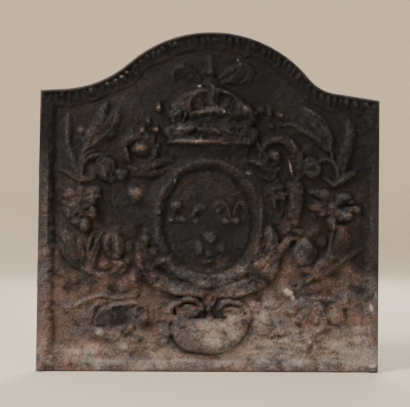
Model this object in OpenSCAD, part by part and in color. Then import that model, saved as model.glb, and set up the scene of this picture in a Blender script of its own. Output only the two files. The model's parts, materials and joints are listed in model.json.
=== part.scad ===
// Cast-iron fireback: an arched board with a raised border, and on it a royal crown, an oval
// shield with three fleurs-de-lis, a scrolled cartouche, leaf sprays, flowers and a shell.
// The board stands on its lower edge. X runs to the right, Z up, and the carved side faces -Y.
// The origin is the middle of the lower edge.
// Each carved piece is drawn flat, as the pattern carver lays it out: across, up and outwards,
// and is then set on the board's front face.

/* [Board] */
// Width of the board along its lower edge
plate_w = 516; // [512:1:620]
// Height from the lower edge to the top of the arch
plate_h = 513; // [508:1:560]
// Thickness of the board behind the carving
plate_t = 16; // [10:1:30]
// How far the left outer corner lies below the top of the arch
left_drop = 91; // [84:1:95]
// How far the right outer corner lies below the top of the arch
right_drop = 101; // [94:1:105]
// How far the left side leans inwards over its height
left_lean = 2.5; // [0:0.5:5]
// Radius of the arch
arch_r = 190; // [184:1:200]
// Place of the arch's middle, to the right of the board's middle
arch_x = 4; // [-6:1:6]
// Radius of the hollow curve from the left shoulder into the arch
left_hollow_r = 160; // [120:1:170]
// Radius of the hollow curve from the right shoulder into the arch
right_hollow_r = 60; // [50:1:90]
// Rise of the left shoulder towards the arch, in degrees
left_rise = 3.5; // [1:0.5:5]
// Rise of the right shoulder towards the arch, in degrees
right_rise = 8.5; // [5:0.5:10]

/* [Border] */
// Width of the border moulding
rim_w = 28; // [24:0.5:29]
// Height of the border's outer fillet above the board
rim_h = 7; // [5:0.5:12]
// Width of the outer fillet
rim_flat = 9; // [6:0.5:11]
// Draft of the border's outer side
rim_draft = 1.5; // [0.5:0.25:3]
// Height of the bed that the beads lie on
bed_h = 3; // [1.5:0.5:4]
// Width of each slope beside the bed
rim_slope = 3; // [2:0.5:4]
// Width of the plain border along the lower edge
foot_rim_w = 18; // [14:0.5:20]
// Length of a bead across the border
bead_l = 11; // [8:0.5:11]
// Width of a bead along the border
bead_w = 6.5; // [5:0.25:7.5]
// Height of a bead above its bed
bead_h = 3.5; // [2:0.25:5]
// Step from bead to bead along the top
bead_step = 10.5; // [9:0.25:14]
// Step from bead to bead down the sides, where they are worn long
side_bead_step = 15.5; // [12:0.25:20]
// Slant of the beads, in degrees
bead_slant = 14; // [0:1:20]

/* [Shield] */
// Distance of the carving's centre line from the board's middle
carving_x = -3.5; // [-5:0.5:0]
// Height of the shield's centre above the lower edge
shield_z = 227; // [224:1:231]
// Half the width of the oval field
field_rx = 61; // [58:0.5:63]
// Half the height of the oval field
field_rz = 73; // [70:0.5:75]
// Height of the domed field above the board
field_h = 10; // [8:0.5:14]
// Radius of the field's dome
dome_r = 450; // [400:10:900]
// Half the outer width of the ring round the field
ring_rx = 83; // [82:0.5:84]
// Width of the ring
ring_w = 15; // [12:0.5:16]
// Height of the ring above the board
ring_h = 8; // [6:0.5:12]
// Half the outer height of the ring
ring_rz = 94; // [92:0.5:95]
// Height of a fleur-de-lis from foot to tip
lily_h = 50; // [44:0.5:52]
// How far a fleur-de-lis stands out of the field
lily_out = 4.5; // [3:0.5:7]

/* [Crown] */
// Width of the crown's circlet
crown_w = 120; // [112:1:124]
// Height of the circlet
circlet_h = 31; // [28:0.5:32]
// How far the circlet's middle stands out of the board
circlet_out = 10; // [8:0.5:14]
// How far the circlet curves back towards its ends
circlet_bow = 4; // [2:0.5:6]
// Height of the plain neck under the circlet
neck_h = 19; // [16:0.5:21]
// How far the neck's middle stands out of the board
neck_out = 6; // [5:0.5:9]
// Radius of a jewel on the circlet
jewel_r = 4.5; // [3:0.25:6]
// Number of jewels on the circlet
jewels = 7; // [5:2:9]
// Height of the crown's arches above the board
arch_out = 8; // [5:0.5:12]

/* [Cartouche] */
// Height of the scrolls round the shield above the board
scroll_out = 8; // [5:0.5:12]
// Thickness of the flat wings at the shield's sides
wing_t = 3.5; // [2:0.5:6]
// Height of the leaves that lie on the wings
wing_leaf_out = 5; // [3:0.5:8]
// Height of the round husks above the board
husk_out = 9; // [6:0.5:12]

/* [Leaves] */
// Height of the leaf blades above the board
leaf_out = 7; // [4:0.5:11]
// Height of the flowers above the board
flower_out = 11; // [7:0.5:15]
// Reach of the left flower's longest petal
left_flower_r = 35; // [32:0.5:36]
// Reach of the right flower's longest petal
right_flower_r = 38; // [34:0.5:39]
// Height of the buds above the board
bud_out = 9; // [6:0.5:12]

/* [Shell] */
// Reach of the shell from its hinge to its rim
shell_r = 52; // [46:0.5:53]
// Height of the shell above the board
shell_out = 9; // [6:0.5:13]
// Number of flutes in the shell
flutes = 7; // [5:2:9]

/* [Hidden] */

sooty = [0.19, 0.18, 0.18];
rubbed = [0.33, 0.30, 0.29];
rusty = [0.40, 0.31, 0.27];
ashen = [0.56, 0.52, 0.48];

// ---------- the board's outline ----------

arc_step = 5;
arch_centre = [arch_x, plate_h - arch_r];
left_corner = [-plate_w / 2 + left_lean, plate_h - left_drop];
right_corner = [plate_w / 2, plate_h - right_drop];

function polar(r, a) = [r * cos(a), r * sin(a)];

// Points of an arc from angle a to angle b, both included
function arc_points(centre, r, a, b) =
    let (n = ceil(abs(b - a) / arc_step))
    [ for (i = [0:n]) centre + polar(r, a + (b - a) * i / n) ];

// Direction, seen from the arch's centre, of the hollow's centre. The hollow touches the arch
// and the shoulder line, which passes through the corner with its normal at the angle given.
function hollow_angle(corner, normal_a, r, side) =
    let (reach = (r - polar(1, normal_a) * (arch_centre - corner)) / (arch_r + r))
    normal_a + side * acos(reach);

left_normal = 90 + left_rise;
right_normal = 90 - right_rise;
left_a = hollow_angle(left_corner, left_normal, left_hollow_r, 1);
right_a = hollow_angle(right_corner, right_normal, right_hollow_r, -1);

// The top edge from the left corner over the arch to the right corner
top_run = concat(
    [left_corner],
    arc_points(arch_centre + polar(arch_r + left_hollow_r, left_a), left_hollow_r,
        left_normal + 180, left_a + 180),
    arc_points(arch_centre, arch_r, left_a, right_a),
    arc_points(arch_centre + polar(arch_r + right_hollow_r, right_a), right_hollow_r,
        right_a + 180, right_normal + 180),
    [right_corner]
);
left_run = [[-plate_w / 2, 0], left_corner];
right_run = [right_corner, [plate_w / 2, 0]];

// A run without points that fall on each other
function tidy_run(run) =
    [ for (i = [0:len(run) - 1]) if (i == 0 || norm(run[i] - run[i - 1]) > 0.01) run[i] ];

top_edge = tidy_run(top_run);

// ---------- the border ----------

// Inward normal of the edge from p to q, with the board on the right of the way from p to q
function inward(p, q) = [q[1] - p[1], p[0] - q[0]] / norm(q - p);

// The step inwards at a corner between two edges, for one unit of border width
function mitre(n1, n2) = (n1 + n2) / (1 + n1 * n2);

// Steps inwards along a run, with the edge before it and the edge after it
function run_steps(run, before, after) =
    let (n = len(run), normals = [ for (i = [0:n - 2]) inward(run[i], run[i + 1]) ])
    [ for (i = [0:n - 1]) mitre(i == 0 ? before : normals[i - 1], i == n - 1 ? after : normals[i]) ];

left_in = inward(left_run[0], left_run[1]);
right_in = inward(right_run[0], right_run[1]);
top_steps = run_steps(top_edge, left_in, right_in);
last = len(top_edge) - 1;
left_steps = [[1, 0], top_steps[0]];
right_steps = [top_steps[last], [-1, 0]];

// The moulding's section: distance in from the board's edge, and height above the board
rim_section = [
    [0, 0],
    [rim_draft, rim_h],
    [rim_draft + rim_flat, rim_h],
    [rim_draft + rim_flat + rim_slope, bed_h],
    [rim_w - rim_slope, bed_h],
    [rim_w, 0]
];
bed_middle = (rim_draft + rim_flat + rim_w) / 2;

// Faces of a tube of rings with the same number of points each, closed at both ends
function tube_faces(rings, m) = concat(
    [ for (i = [0:rings - 2], j = [0:m - 1])
        let (k = (j + 1) % m, a = i * m + j, b = i * m + k, c = b + m, d = a + m)
        each [[a, b, c], [a, c, d]] ],
    [ for (j = [1:m - 2]) [0, j + 1, j] ],
    [ for (j = [1:m - 2]) let (o = (rings - 1) * m) [o, o + j, o + j + 1] ]
);

// A length of border moulding along a run of the board's edge
module moulding(run, steps) {
    m = len(rim_section);
    points = [ for (i = [0:len(run) - 1], s = rim_section)
        let (p = run[i] + steps[i] * s[0]) [p[0], p[1], s[1]] ];
    flip = [ for (f = tube_faces(len(run), m)) [f[0], f[2], f[1]] ];
    polyhedron(points, flip, convexity = 8);
}

// Distance along a run at each of its points
function run_lengths(run) = [
    for (i = 0, s = 0; i < len(run);
        s = s + (i + 1 < len(run) ? norm(run[i + 1] - run[i]) : 0), i = i + 1)
    s
];

// One bead: a slim lozenge lying across the border, cut off flat at its bed
module bead() {
    section = [[-1, 0], [-0.55, 1], [0.55, 1], [1, 0]];
    rings = [[-1, 0.45, 0.3], [0, 1, 1], [1, 0.45, 0.3]];
    points = [ for (r = rings, s = section)
        [r[0] * bead_l / 2, -s[0] * r[1] * bead_w / 2, bed_h + s[1] * r[2] * bead_h] ];
    polyhedron(points, [ for (f = tube_faces(3, 4)) [f[0], f[2], f[1]] ]);
}

// Beads along the middle of the border's bed, the ends kept clear of the corners
module bead_row(run, steps, step, from, to) {
    middle = [ for (i = [0:len(run) - 1]) run[i] + steps[i] * bed_middle ];
    lengths = run_lengths(middle);
    total = lengths[len(lengths) - 1] - from - to;
    count = floor(total / step);
    for (k = [0:count]) {
        s = from + (total - count * step) / 2 + k * step;
        i = max([ for (j = [0:len(lengths) - 2]) if (lengths[j] <= s) j ]);
        way = (middle[i + 1] - middle[i]) / norm(middle[i + 1] - middle[i]);
        at = middle[i] + way * (s - lengths[i]);
        translate([at[0], at[1], 0]) rotate(atan2(way[1], way[0]) - 90 - bead_slant) bead();
    }
}

// ---------- carving tools ----------

// Sets what is drawn flat on the board's front face, at the place given
module on_board(x = 0, z = 0) translate([x, -plate_t / 2, z]) rotate([90, 0, 0]) children();

// The carving is drawn for the field inside the border of a board of the size below. On a board
// with another field the pieces grow or shrink to fit it, and stand in the middle of its height.
drawn_rim = 28;
drawn_foot = 18;
drawn_w = 460;
drawn_h = 366;
field_w = plate_w - 2 * rim_w;
shoulder_h = min(left_corner[1], right_corner[1]) - rim_w - foot_rim_w;
carving_k = min(field_w / drawn_w, shoulder_h / drawn_h);
carving_rise = (shoulder_h - carving_k * drawn_h) / 2;

// Sets the drawing's point (drawn_x, drawn_foot) on the field's floor at the place x
module carved(x, drawn_x)
    translate([x, -plate_t / 2, foot_rim_w + carving_rise]) scale(carving_k)
        translate([-drawn_x, 0, -drawn_foot]) children();

// The three places that the carving is measured from: the carving's centre line, the board's
// left side and its right side. Heights are measured from the lower edge.
module centred(z = 0) carved(carving_x, 0) translate([0, 0, z]) rotate([90, 0, 0]) children();
module from_left() carved(-plate_w / 2 + rim_w, drawn_rim) rotate([90, 0, 0]) children();
module from_right() carved(plate_w / 2 - rim_w, -drawn_rim) rotate([90, 0, 0]) children();

// Point of the smooth curve through the points p, for t from 0 to 1
function on_curve(p, t) =
    let (n = len(p) - 1, s = min(t * n, n - 0.0001), i = floor(s), u = s - i,
         a = p[max(i - 1, 0)], b = p[i], c = p[i + 1], d = p[min(i + 2, n)])
    0.5 * (2 * b + (c - a) * u + (2 * a - 5 * b + 4 * c - d) * u * u
        + (3 * b - a - 3 * c + d) * u * u * u);

// Value between evenly spaced values, for t from 0 to 1
function between(v, t) =
    let (n = len(v) - 1, s = min(t * n, n - 0.0001), i = floor(s), u = s - i)
    v[i] + (v[i + 1] - v[i]) * u * u * (3 - 2 * u);

// A carved ridge with a rounded back, along a smooth curve. wide and high are its widths and
// heights at evenly spaced stations. foot lowers its underside below the face it is drawn on.
module ridge(line, wide, high, steps = 8, foot = 0) {
    back = [[-1, 0], [-0.7, 0.7], [0, 1], [0.7, 0.7], [1, 0]];
    m = foot > 0 ? 7 : 5;
    at = [ for (i = [0:steps]) on_curve(line, i / steps) ];
    points = [ for (i = [0:steps])
        let (way = at[min(i + 1, steps)] - at[max(i - 1, 0)], side = [-way[1], way[0]] / norm(way),
             w = between(wide, i / steps) / 2, h = between(high, i / steps))
        each concat(
            foot > 0 ? [[at[i][0] - side[0] * w, at[i][1] - side[1] * w, -foot]] : [],
            [ for (b = back) [at[i][0] + side[0] * b[0] * w, at[i][1] + side[1] * b[0] * w, b[1] * h] ],
            foot > 0 ? [[at[i][0] + side[0] * w, at[i][1] + side[1] * w, -foot]] : []
        )
    ];
    polyhedron(points, tube_faces(steps + 1, m), convexity = 6);
}

// A low rounded dome with an oval base
module dome(at, rx, ry, h, angle = 0, foot = 0, sides = 10) {
    rings = concat(foot > 0 ? [[1, -foot]] : [], [[1, 0], [0.75, 0.66], [0.3, 0.97]]);
    n = len(rings);
    points = [ for (r = rings, k = [0:sides - 1])
        [rx * r[0] * cos(360 * k / sides), ry * r[0] * sin(360 * k / sides), r[1] * (r[1] > 0 ? h : 1)] ];
    translate([at[0], at[1], 0]) rotate(angle)
        polyhedron(points, [ for (f = tube_faces(n, sides)) [f[0], f[2], f[1]] ]);
}

// A leaf blade: narrow at its base, wide at its middle and pointed at its tip
module blade(line, w, h = leaf_out, steps = 8)
    ridge(line, [w * 0.45, w, w * 0.95, 1.6], [h * 0.6, h, h * 0.85, h * 0.25], steps);

// ---------- board and border ----------

module plate() {
    color(sooty) on_board() translate([0, 0, -plate_t]) linear_extrude(plate_t)
        polygon(concat([left_run[0]], top_edge, [right_run[1]]));
}

module rim_top() {
    color(sooty) on_board() moulding(top_edge, top_steps);
}

module rim_left() {
    color(sooty) on_board() moulding(left_run, left_steps);
}

module rim_right() {
    color(sooty) on_board() moulding(right_run, right_steps);
}

module rim_bottom() {
    length = plate_w - 2 * rim_w;
    color(ashen) translate([-length / 2, -plate_t / 2, 0]) rotate([90, 0, 90]) linear_extrude(length)
        polygon([[0, 0], [-bed_h, 0], [-bed_h, foot_rim_w - rim_slope], [0, foot_rim_w]]);
}

module beads_top() {
    color(sooty) on_board() bead_row(top_edge, top_steps, bead_step, bead_step, bead_step);
}

module beads_left() {
    color(sooty) on_board() bead_row(left_run, left_steps, side_bead_step, foot_rim_w, side_bead_step);
}

module beads_right() {
    color(sooty) on_board() bead_row(right_run, right_steps, side_bead_step, side_bead_step, foot_rim_w);
}

// ---------- shield ----------

module oval(rx, ry) polygon([ for (a = [0:7.5:352.5]) [rx * cos(a), ry * sin(a)] ]);

// The big ball whose cap is the field's domed face
module dome_ball() translate([0, 0, field_h - dome_r]) sphere(dome_r, $fn = 240);

module shield_field() {
    color(sooty) centred(shield_z) intersection() {
        linear_extrude(field_h) oval(field_rx, field_rz);
        dome_ball();
    }
}

// The rounded ring round the field, drawn as one closed run of its section
module shield_ring() {
    turns = 48;
    section = [[0, 0], [0.1, 0.6], [0.32, 0.95], [0.68, 0.95], [0.9, 0.6], [1, 0]];
    m = len(section);
    points = [ for (i = [0:turns - 1], s = section)
        let (in = ring_w * s[0], a = 360 * i / turns)
        [(ring_rx - in) * cos(a), (ring_rz - in) * sin(a), s[1] * ring_h] ];
    faces = [ for (i = [0:turns - 1], j = [0:m - 1])
        let (k = (j + 1) % m, o = i * m, n = ((i + 1) % turns) * m)
        each [[o + j, o + k, n + k], [o + j, n + k, n + j]] ];
    color(rubbed) centred(shield_z) polyhedron(points, faces, convexity = 8);
}

// A fleur-de-lis set on the domed field at the place given
module lily(x, z) {
    k = lily_h / 50;
    out = lily_out / k;
    rise = (field_h - (x * x + z * z) / (2 * dome_r)) / k;
    foot = 4;
    centred(shield_z) difference() {
        translate([x, z, 0]) scale(k) translate([0, 0, rise]) {
            ridge([[0, -9], [0, 6], [0, 26]], [5, 15, 3], [out, out * 1.2, out * 0.6], 6, foot);
            ridge([[0, -13], [0, -25]], [5, 8], [out, out * 0.7], 2, foot);
            ridge([[-12, -10], [12, -10]], [6, 6], [out, out], 2, foot);
            for (side = [-1, 1]) {
                ridge([[side * 4, -9], [side * 8, 3], [side * 17, 7], [side * 23, 0], [side * 19, -6]],
                    [5, 8, 9, 7, 3], [out * 0.8, out, out, out * 0.8, out * 0.5], 8, foot);
                ridge([[side * 3, -13], [side * 7, -18], [side * 13, -20]],
                    [4, 6, 3], [out * 0.8, out * 0.7, out * 0.4], 4, foot);
            }
        }
        dome_ball();
    }
}

module fleur_de_lis_left() color(rubbed) lily(-32, 20);
module fleur_de_lis_right() color(rubbed) lily(34, 20);
module fleur_de_lis_bottom() color(rubbed) lily(4, -38);

// ---------- crown ----------

crown_z = shield_z + ring_rz + 1.5 + neck_h;
crown_x = 4;

module on_crown() centred(crown_z) translate([crown_x, 0, 0]) children();

// Radius of a band's bow over the width given
function bow_radius(width) = (width * width / 4 + circlet_bow * circlet_bow) / (2 * circlet_bow);

// A band that bows outwards at its middle. section lists height and how far it stands out.
module bowed_band(width, out, section) {
    radius = bow_radius(width);
    angle = 2 * asin(width / 2 / radius);
    depth = out + circlet_bow;
    carved(carving_x, -crown_x) difference() {
        translate([0, radius - out, crown_z])
            rotate(-90 - angle / 2) rotate_extrude(angle = angle, $fn = 360)
                polygon(concat([[radius - out - depth, section[0][0]]],
                    [ for (s = section) [radius + s[1], s[0]] ],
                    [[radius - out - depth, section[len(section) - 1][0]]]));
        translate([-width, 0, crown_z - 2 * neck_h])
            cube([2 * width, 3 * depth, 2 * neck_h + 2 * circlet_h]);
    }
}

module crown_neck() {
    color(rubbed)
        bowed_band(crown_w - 2, neck_out, [[-neck_h, -1.5], [1.5 - neck_h, 0], [0, 0]]);
}

module crown_circlet() {
    bead = 5;
    sunk = -2.5;
    radius = bow_radius(crown_w);
    color(rubbed) union() {
        bowed_band(crown_w, circlet_out, [
            [0, -1], [1.2, 0], [bead - 1.2, 0], [bead, sunk], [circlet_h - bead, sunk],
            [circlet_h - bead + 1, -0.5], [circlet_h - 1, -0.5], [circlet_h, -1.5]
        ]);
        for (i = [0:jewels - 1]) {
            x = (i - (jewels - 1) / 2) * (crown_w - 14) / (jewels - 1);
            back = radius - sqrt(radius * radius - x * x);
            carved(carving_x, -crown_x - x)
                translate([0, 1 + back - sunk - circlet_out, crown_z + circlet_h / 2])
                    sphere(jewel_r, $fn = 20);
        }
    }
}

// Five leaves standing on the circlet, with a pearl between each two
module crown_fleurons() {
    base = circlet_h + 1.5;
    pitch = (crown_w - 20) / 4;
    color(rubbed) on_crown() {
        ridge([[-2.2 * pitch, base + 1.5], [2.2 * pitch, base + 1.5]], [3, 3], [4, 4], 2);
        for (i = [-2:2]) {
            tall = i == 0 ? 22 : 15;
            x = i * pitch;
            ridge([[x, base], [x, base + tall]], [9, 6], [7, 5], 2);
            dome([x, base + tall * 0.68], pitch * 0.38, tall * 0.28, 7);
        }
        for (i = [-1.5:1:1.5]) dome([i * pitch, base + 3.5], 4, 3.5, 6, 0, 0, 8);
    }
}

module crown_cap() {
    color(sooty) on_crown() for (side = [-1, 1]) dome([side * 18, 62], 9, 10, 6, side * 12);
}

module crown_arches() {
    h = arch_out;
    color(rubbed) on_crown() {
        ridge([[0, 85], [0, 72], [0, 62]], [9, 9, 12], [h, h, h * 0.9], 3);
        for (side = [-1, 1]) {
            ridge([[side * 3, 83], [side * 26, 78], [side * 46, 69], [side * 58, 52]],
                [7, 11, 12, 9], [h, h, h, h * 0.7]);
            ridge([[side * 4, 79], [side * 22, 76], [side * 34, 67], [side * 36, 52]],
                [6, 7, 8, 7], [h * 0.8, h * 0.8, h * 0.8, h * 0.6], 7);
            dome([side * 46, 57.5], 4.5, 5, h * 0.7, 0, 0, 8);
        }
    }
}

module crown_finial() {
    color(rubbed) on_crown() {
        ridge([[-15, 90], [0, 93], [15, 90]], [5, 8, 5], [4, 7, 4], 4);
        ridge([[0, 92], [0, 104], [0, 120], [0, 132]], [12, 7, 9, 3], [7, 6, 6, 3], 6);
        dome([0, 109], 7.5, 7.5, 9);
    }
}

module crown_petal_left() {
    color(sooty) on_crown()
        ridge([[-12, 100], [-23, 110], [-38, 118], [-52, 113], [-56, 101], [-50, 92]],
            [4, 9, 11, 10, 8, 4], [3, 6, 7, 7, 6, 3], 9);
}

module crown_petal_right() {
    color(sooty) on_crown()
        ridge([[12, 100], [24, 110], [40, 118], [55, 114], [61, 102], [57, 90]],
            [4, 9, 11, 10, 8, 4], [3, 6, 7, 7, 6, 3], 9);
}

module berries_left() {
    color(rubbed) centred() {
        dome([-74, 395], 5.5, 7, 7);
        dome([-79, 365], 6, 4.5, 6);
        dome([-97, 364], 5, 6, 6);
        dome([-89, 377], 3.5, 5, 5, 0, 0, 8);
        dome([-107, 377], 3, 4, 4, 0, 0, 8);
    }
}

module berries_right() {
    color(rubbed) centred() {
        dome([74, 389], 5, 4.5, 6);
        dome([94, 392], 5.5, 8, 6);
        dome([110, 387], 6, 4.5, 6, -30);
        dome([96, 371], 4, 5, 5, 0, 0, 8);
        dome([112, 373.5], 3.5, 4, 4, 0, 0, 8);
    }
}

// ---------- cartouche ----------

module volute_left() {
    h = scroll_out;
    color(rubbed) centred(shield_z) {
        ridge([[-121, 88], [-128, 103], [-122, 116], [-108, 123], [-92, 121], [-80, 111],
            [-78, 98], [-87, 90], [-99, 92], [-106, 101]],
            [5, 9, 10, 11, 11, 9, 7, 6, 5, 4], [4, h, h, h, h, h, h * 0.9, h * 0.8, h * 0.7, 5], 17);
        dome([-101, 107], 8.5, 8, h + 1);
    }
}

module volute_right() {
    h = scroll_out;
    color(rubbed) centred(shield_z) {
        ridge([[108, 97], [106, 88], [94, 85], [83, 92], [82, 105], [90, 116], [105, 121],
            [120, 117], [131, 105], [134, 89], [132, 74], [129, 66]],
            [4, 5, 6, 7, 8, 10, 11, 14, 17, 17, 15, 9],
            [5, h * 0.7, h * 0.8, h * 0.9, h, h, h, h, h, h, h * 0.8, 4], 19);
        dome([101, 99], 8, 8, h + 1);
    }
}

module collar_leaf_left() {
    color(rubbed) centred(shield_z)
        ridge([[-112, 73], [-95, 76], [-78, 82], [-60, 89]], [6, 9, 8, 4], [4, 6, 6, 3]);
}

module collar_leaf_right() {
    color(rubbed) centred(shield_z)
        ridge([[70, 88], [83, 81], [95, 73], [108, 72]], [4, 8, 8, 4], [3, 6, 5, 3]);
}

module wing_left() {
    color(sooty) centred(shield_z) linear_extrude(wing_t) polygon([
        [-141, 55], [-142, 30], [-141, 10], [-134, -2], [-120, -9], [-104, -12], [-94, -8],
        [-91, 10], [-89, 35], [-91, 50], [-98, 59], [-114, 61], [-132, 60]
    ]);
}

module wing_right() {
    color(sooty) centred(shield_z) linear_extrude(wing_t) polygon([
        [85, 48], [93, 57], [118, 61], [139, 60], [145, 52], [145, 28], [142, 8], [134, -3],
        [118, -7], [102, -3], [92, 8], [87, 28]
    ]);
}

module wing_leaf_left() {
    color(rubbed) centred(shield_z) translate([0, 0, wing_t]) {
        ridge([[-114, 40], [-106, 48], [-97, 46]], [8, 11, 6], [wing_leaf_out, wing_leaf_out, 3], 5);
        ridge([[-114, 40], [-109, 33], [-104, 27]], [9, 12, 5], [wing_leaf_out, wing_leaf_out, 3], 5);
    }
}

module wing_leaf_right() {
    color(rubbed) centred(shield_z) translate([0, 0, wing_t]) {
        ridge([[91, 41], [100, 49], [112, 53], [124, 54]],
            [6, 10, 9, 4], [3, wing_leaf_out, wing_leaf_out, 2], 6);
        ridge([[98, 44], [104, 36], [116, 38], [124, 42]],
            [6, 9, 9, 4], [3, wing_leaf_out, wing_leaf_out, 2], 6);
        ridge([[104, 36], [102, 26], [108, 16]], [8, 9, 3], [4, wing_leaf_out, 2], 5);
    }
}

module husk_left() {
    h = husk_out;
    color(rubbed) centred(shield_z) {
        ridge([[-97, -17], [-93, -38], [-82, -57], [-69, -74]], [3, 5, 5, 3], [3, 4, 4, 3], 6);
        dome([-95, -30], 10, 9.5, h);
        dome([-84.5, -49], 10, 10.5, h);
        dome([-73, -65], 7.5, 7.5, h);
        dome([-100, -42], 6.5, 6, h * 0.6, 0, 0, 8);
    }
}

module husk_right() {
    h = husk_out;
    color(rubbed) centred(shield_z) {
        ridge([[92, -42], [94, -26], [93, -11]], [7, 9, 5], [6, h * 0.8, 4], 5);
        ridge([[72, -78], [80, -66], [86, -50], [91, -38]], [5, 13, 12, 5], [4, h * 0.8, h, 5], 7);
        ridge([[82, -76], [91, -65], [97, -52], [95, -40]], [4, 9, 9, 4], [3, h * 0.7, h * 0.7, 4], 6);
    }
}

module strap_left() {
    h = scroll_out;
    color(rubbed) centred(shield_z) {
        ridge([[-103, -55], [-101, -69], [-91, -84], [-75, -96], [-55, -104], [-30, -108],
            [-7, -109]], [5, 12, 16, 17, 14, 11, 7], [4, h, h, h, h, h * 0.8, h * 0.6], 13);
        ridge([[-76, -84], [-55, -93], [-32, -99], [-9, -103]], [3, 6, 6, 4], [3, h, h * 0.9, 4], 7);
    }
}

module strap_right() {
    h = scroll_out;
    color(rubbed) centred(shield_z) {
        ridge([[109, -50], [107, -67], [98, -83], [82, -96], [60, -105], [36, -109], [15, -109]],
            [5, 12, 16, 17, 15, 11, 7], [4, h, h, h, h, h * 0.8, h * 0.6], 13);
        ridge([[84, -84], [62, -94], [39, -99], [17, -103]], [3, 6, 6, 4], [3, h, h * 0.9, 4], 7);
    }
}

// ---------- sprays of leaves, buds and flowers ----------

module spray_left() {
    color(sooty) from_left() {
        blade([[60, 296], [50, 322], [45, 354], [47, 386]], 14);
        blade([[68, 335], [78, 357], [89, 380], [101, 399]], 13);
        blade([[70, 335], [90, 358], [108, 376], [119, 393]], 21);
        blade([[74, 335], [94, 347], [110, 356], [120, 369]], 14);
        blade([[64, 306], [70, 320], [82, 330], [97, 335]], 9, leaf_out, 7);
        ridge([[69, 337], [64, 320], [61, 302], [64, 285]], [7, 6, 5, 4], [6, 5, 4, 3], 7);
        blade([[62, 292], [55, 292], [50, 297], [44, 301]], 6, leaf_out, 6);
        blade([[63, 286], [71, 287], [78, 293]], 7, leaf_out, 5);
        ridge([[70, 338], [66, 354], [66, 370]], [4, 6, 5], [5, 5, 4], 4);
        dome([64, 362], 7, 7, 6);
    }
}

module spray_right() {
    color(sooty) from_right() {
        blade([[-76, 338], [-89, 361], [-104, 382], [-119, 398]], 19);
        blade([[-78, 345], [-83, 362], [-90, 379], [-101, 392]], 11);
        blade([[-78, 334], [-93, 348], [-114, 364], [-134, 372], [-145, 371]], 9, leaf_out, 9);
        blade([[-64, 295], [-56, 322], [-49, 352], [-43, 378]], 17);
        ridge([[-66, 282], [-65, 300], [-70, 318], [-78, 340]], [5, 6, 6, 7], [4, 5, 5, 6], 7);
        blade([[-66, 302], [-70, 314], [-80, 320], [-91, 322]], 8, leaf_out, 6);
        blade([[-66, 284], [-58, 292], [-51, 299], [-41, 305]], 10, leaf_out, 6);
        blade([[-66, 284], [-74, 286], [-82, 290]], 8, leaf_out, 5);
    }
}

module bud_left() {
    h = bud_out;
    color(rubbed) from_left() {
        ridge([[89, 303], [92, 316], [103, 321], [113, 315], [118, 300]],
            [4, 8, 9, 9, 5], [3, h * 0.8, h * 0.8, h * 0.8, 4], 8);
        ridge([[102, 302], [107, 295], [114, 290]], [6, 5, 5], [5, 5, 5], 3);
        dome([102, 303], 6.5, 7.5, h);
        dome([112, 289], 9, 5.5, h * 0.8, 15);
        dome([125, 297], 8, 7.5, h * 0.8);
    }
}

module bud_right() {
    h = bud_out;
    color(rubbed) from_right() {
        ridge([[-113, 307], [-112, 318], [-103, 323], [-95, 313], [-97, 302], [-104, 300]],
            [5, 9, 11, 9, 6, 4], [3, h, h, h, h * 0.8, 4], 9);
        dome([-105, 304], 5.5, 6, h);
    }
}

// A flower: petals round a raised heart. Each petal has its direction, its share of the
// flower's reach and its width.
module flower(at, reach, petals) {
    h = flower_out;
    translate([at[0], at[1], 0]) {
        for (p = petals) {
            tip = polar(reach * p[1], p[0]);
            belly = polar(reach * p[1] * 0.6, p[0] + 5);
            ridge([[0, 0], belly, tip], [p[2] * 0.5, p[2], p[2] * 0.45],
                [h * 0.7, h * 0.85, h * 0.4], 5);
        }
        dome([0, 0], 9, 9, h);
    }
}

module flower_left() {
    color(rubbed) from_left() flower([70, 245], left_flower_r, [
        [46, 1, 24], [92, 0.94, 22], [140, 0.95, 20], [184, 0.9, 18], [228, 0.82, 18],
        [272, 0.95, 22], [328, 0.76, 21]
    ]);
}

module flower_right() {
    color(rubbed) from_right() flower([-72, 245], right_flower_r, [
        [134, 0.92, 27], [86, 0.75, 20], [42, 0.9, 22], [2, 0.98, 16], [316, 0.72, 18],
        [270, 0.84, 20], [204, 0.84, 21]
    ]);
}

module low_spray_left() {
    color(rusty) from_left() {
        blade([[82, 150], [59, 167], [43, 184], [34, 201]], 11);
        blade([[83, 151], [62, 172], [52, 191], [46, 209]], 13);
        blade([[85, 152], [71, 172], [64, 190], [61, 207]], 11);
        blade([[84, 154], [80, 172], [77, 193]], 6, leaf_out, 5);
        blade([[84, 156], [90, 178], [96, 199]], 7, leaf_out, 5);
        ridge([[82, 152], [94, 145], [106, 141]], [8, 8, 3], [5, 5, 2], 4);
    }
}

module low_spray_right() {
    color(rusty) from_right() {
        blade([[-102, 145], [-82, 164], [-67, 186], [-56, 207]], 20);
        blade([[-98, 143], [-74, 154], [-55, 168], [-38, 184]], 13);
        ridge([[-100, 145], [-116, 137], [-134, 134]], [9, 8, 3], [6, 5, 3], 5);
    }
}

module low_bud_left() {
    h = bud_out;
    color(rusty) from_left() {
        dome([117, 187], 9, 15, h);
        ridge([[112, 172], [106, 184], [109, 198], [118, 207]],
            [6, 8, 8, 3], [5, h * 0.8, h * 0.7, 3], 7);
        ridge([[120, 172], [128, 182], [129, 194], [124, 205]],
            [6, 8, 8, 3], [5, h * 0.8, h * 0.7, 3], 7);
        ridge([[116, 176], [113, 165], [124, 165], [131, 158], [127, 149], [117, 145]],
            [6, 6, 9, 9, 8, 3], [5, 5, h * 0.8, h * 0.8, 6, 3], 10);
    }
}

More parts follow.
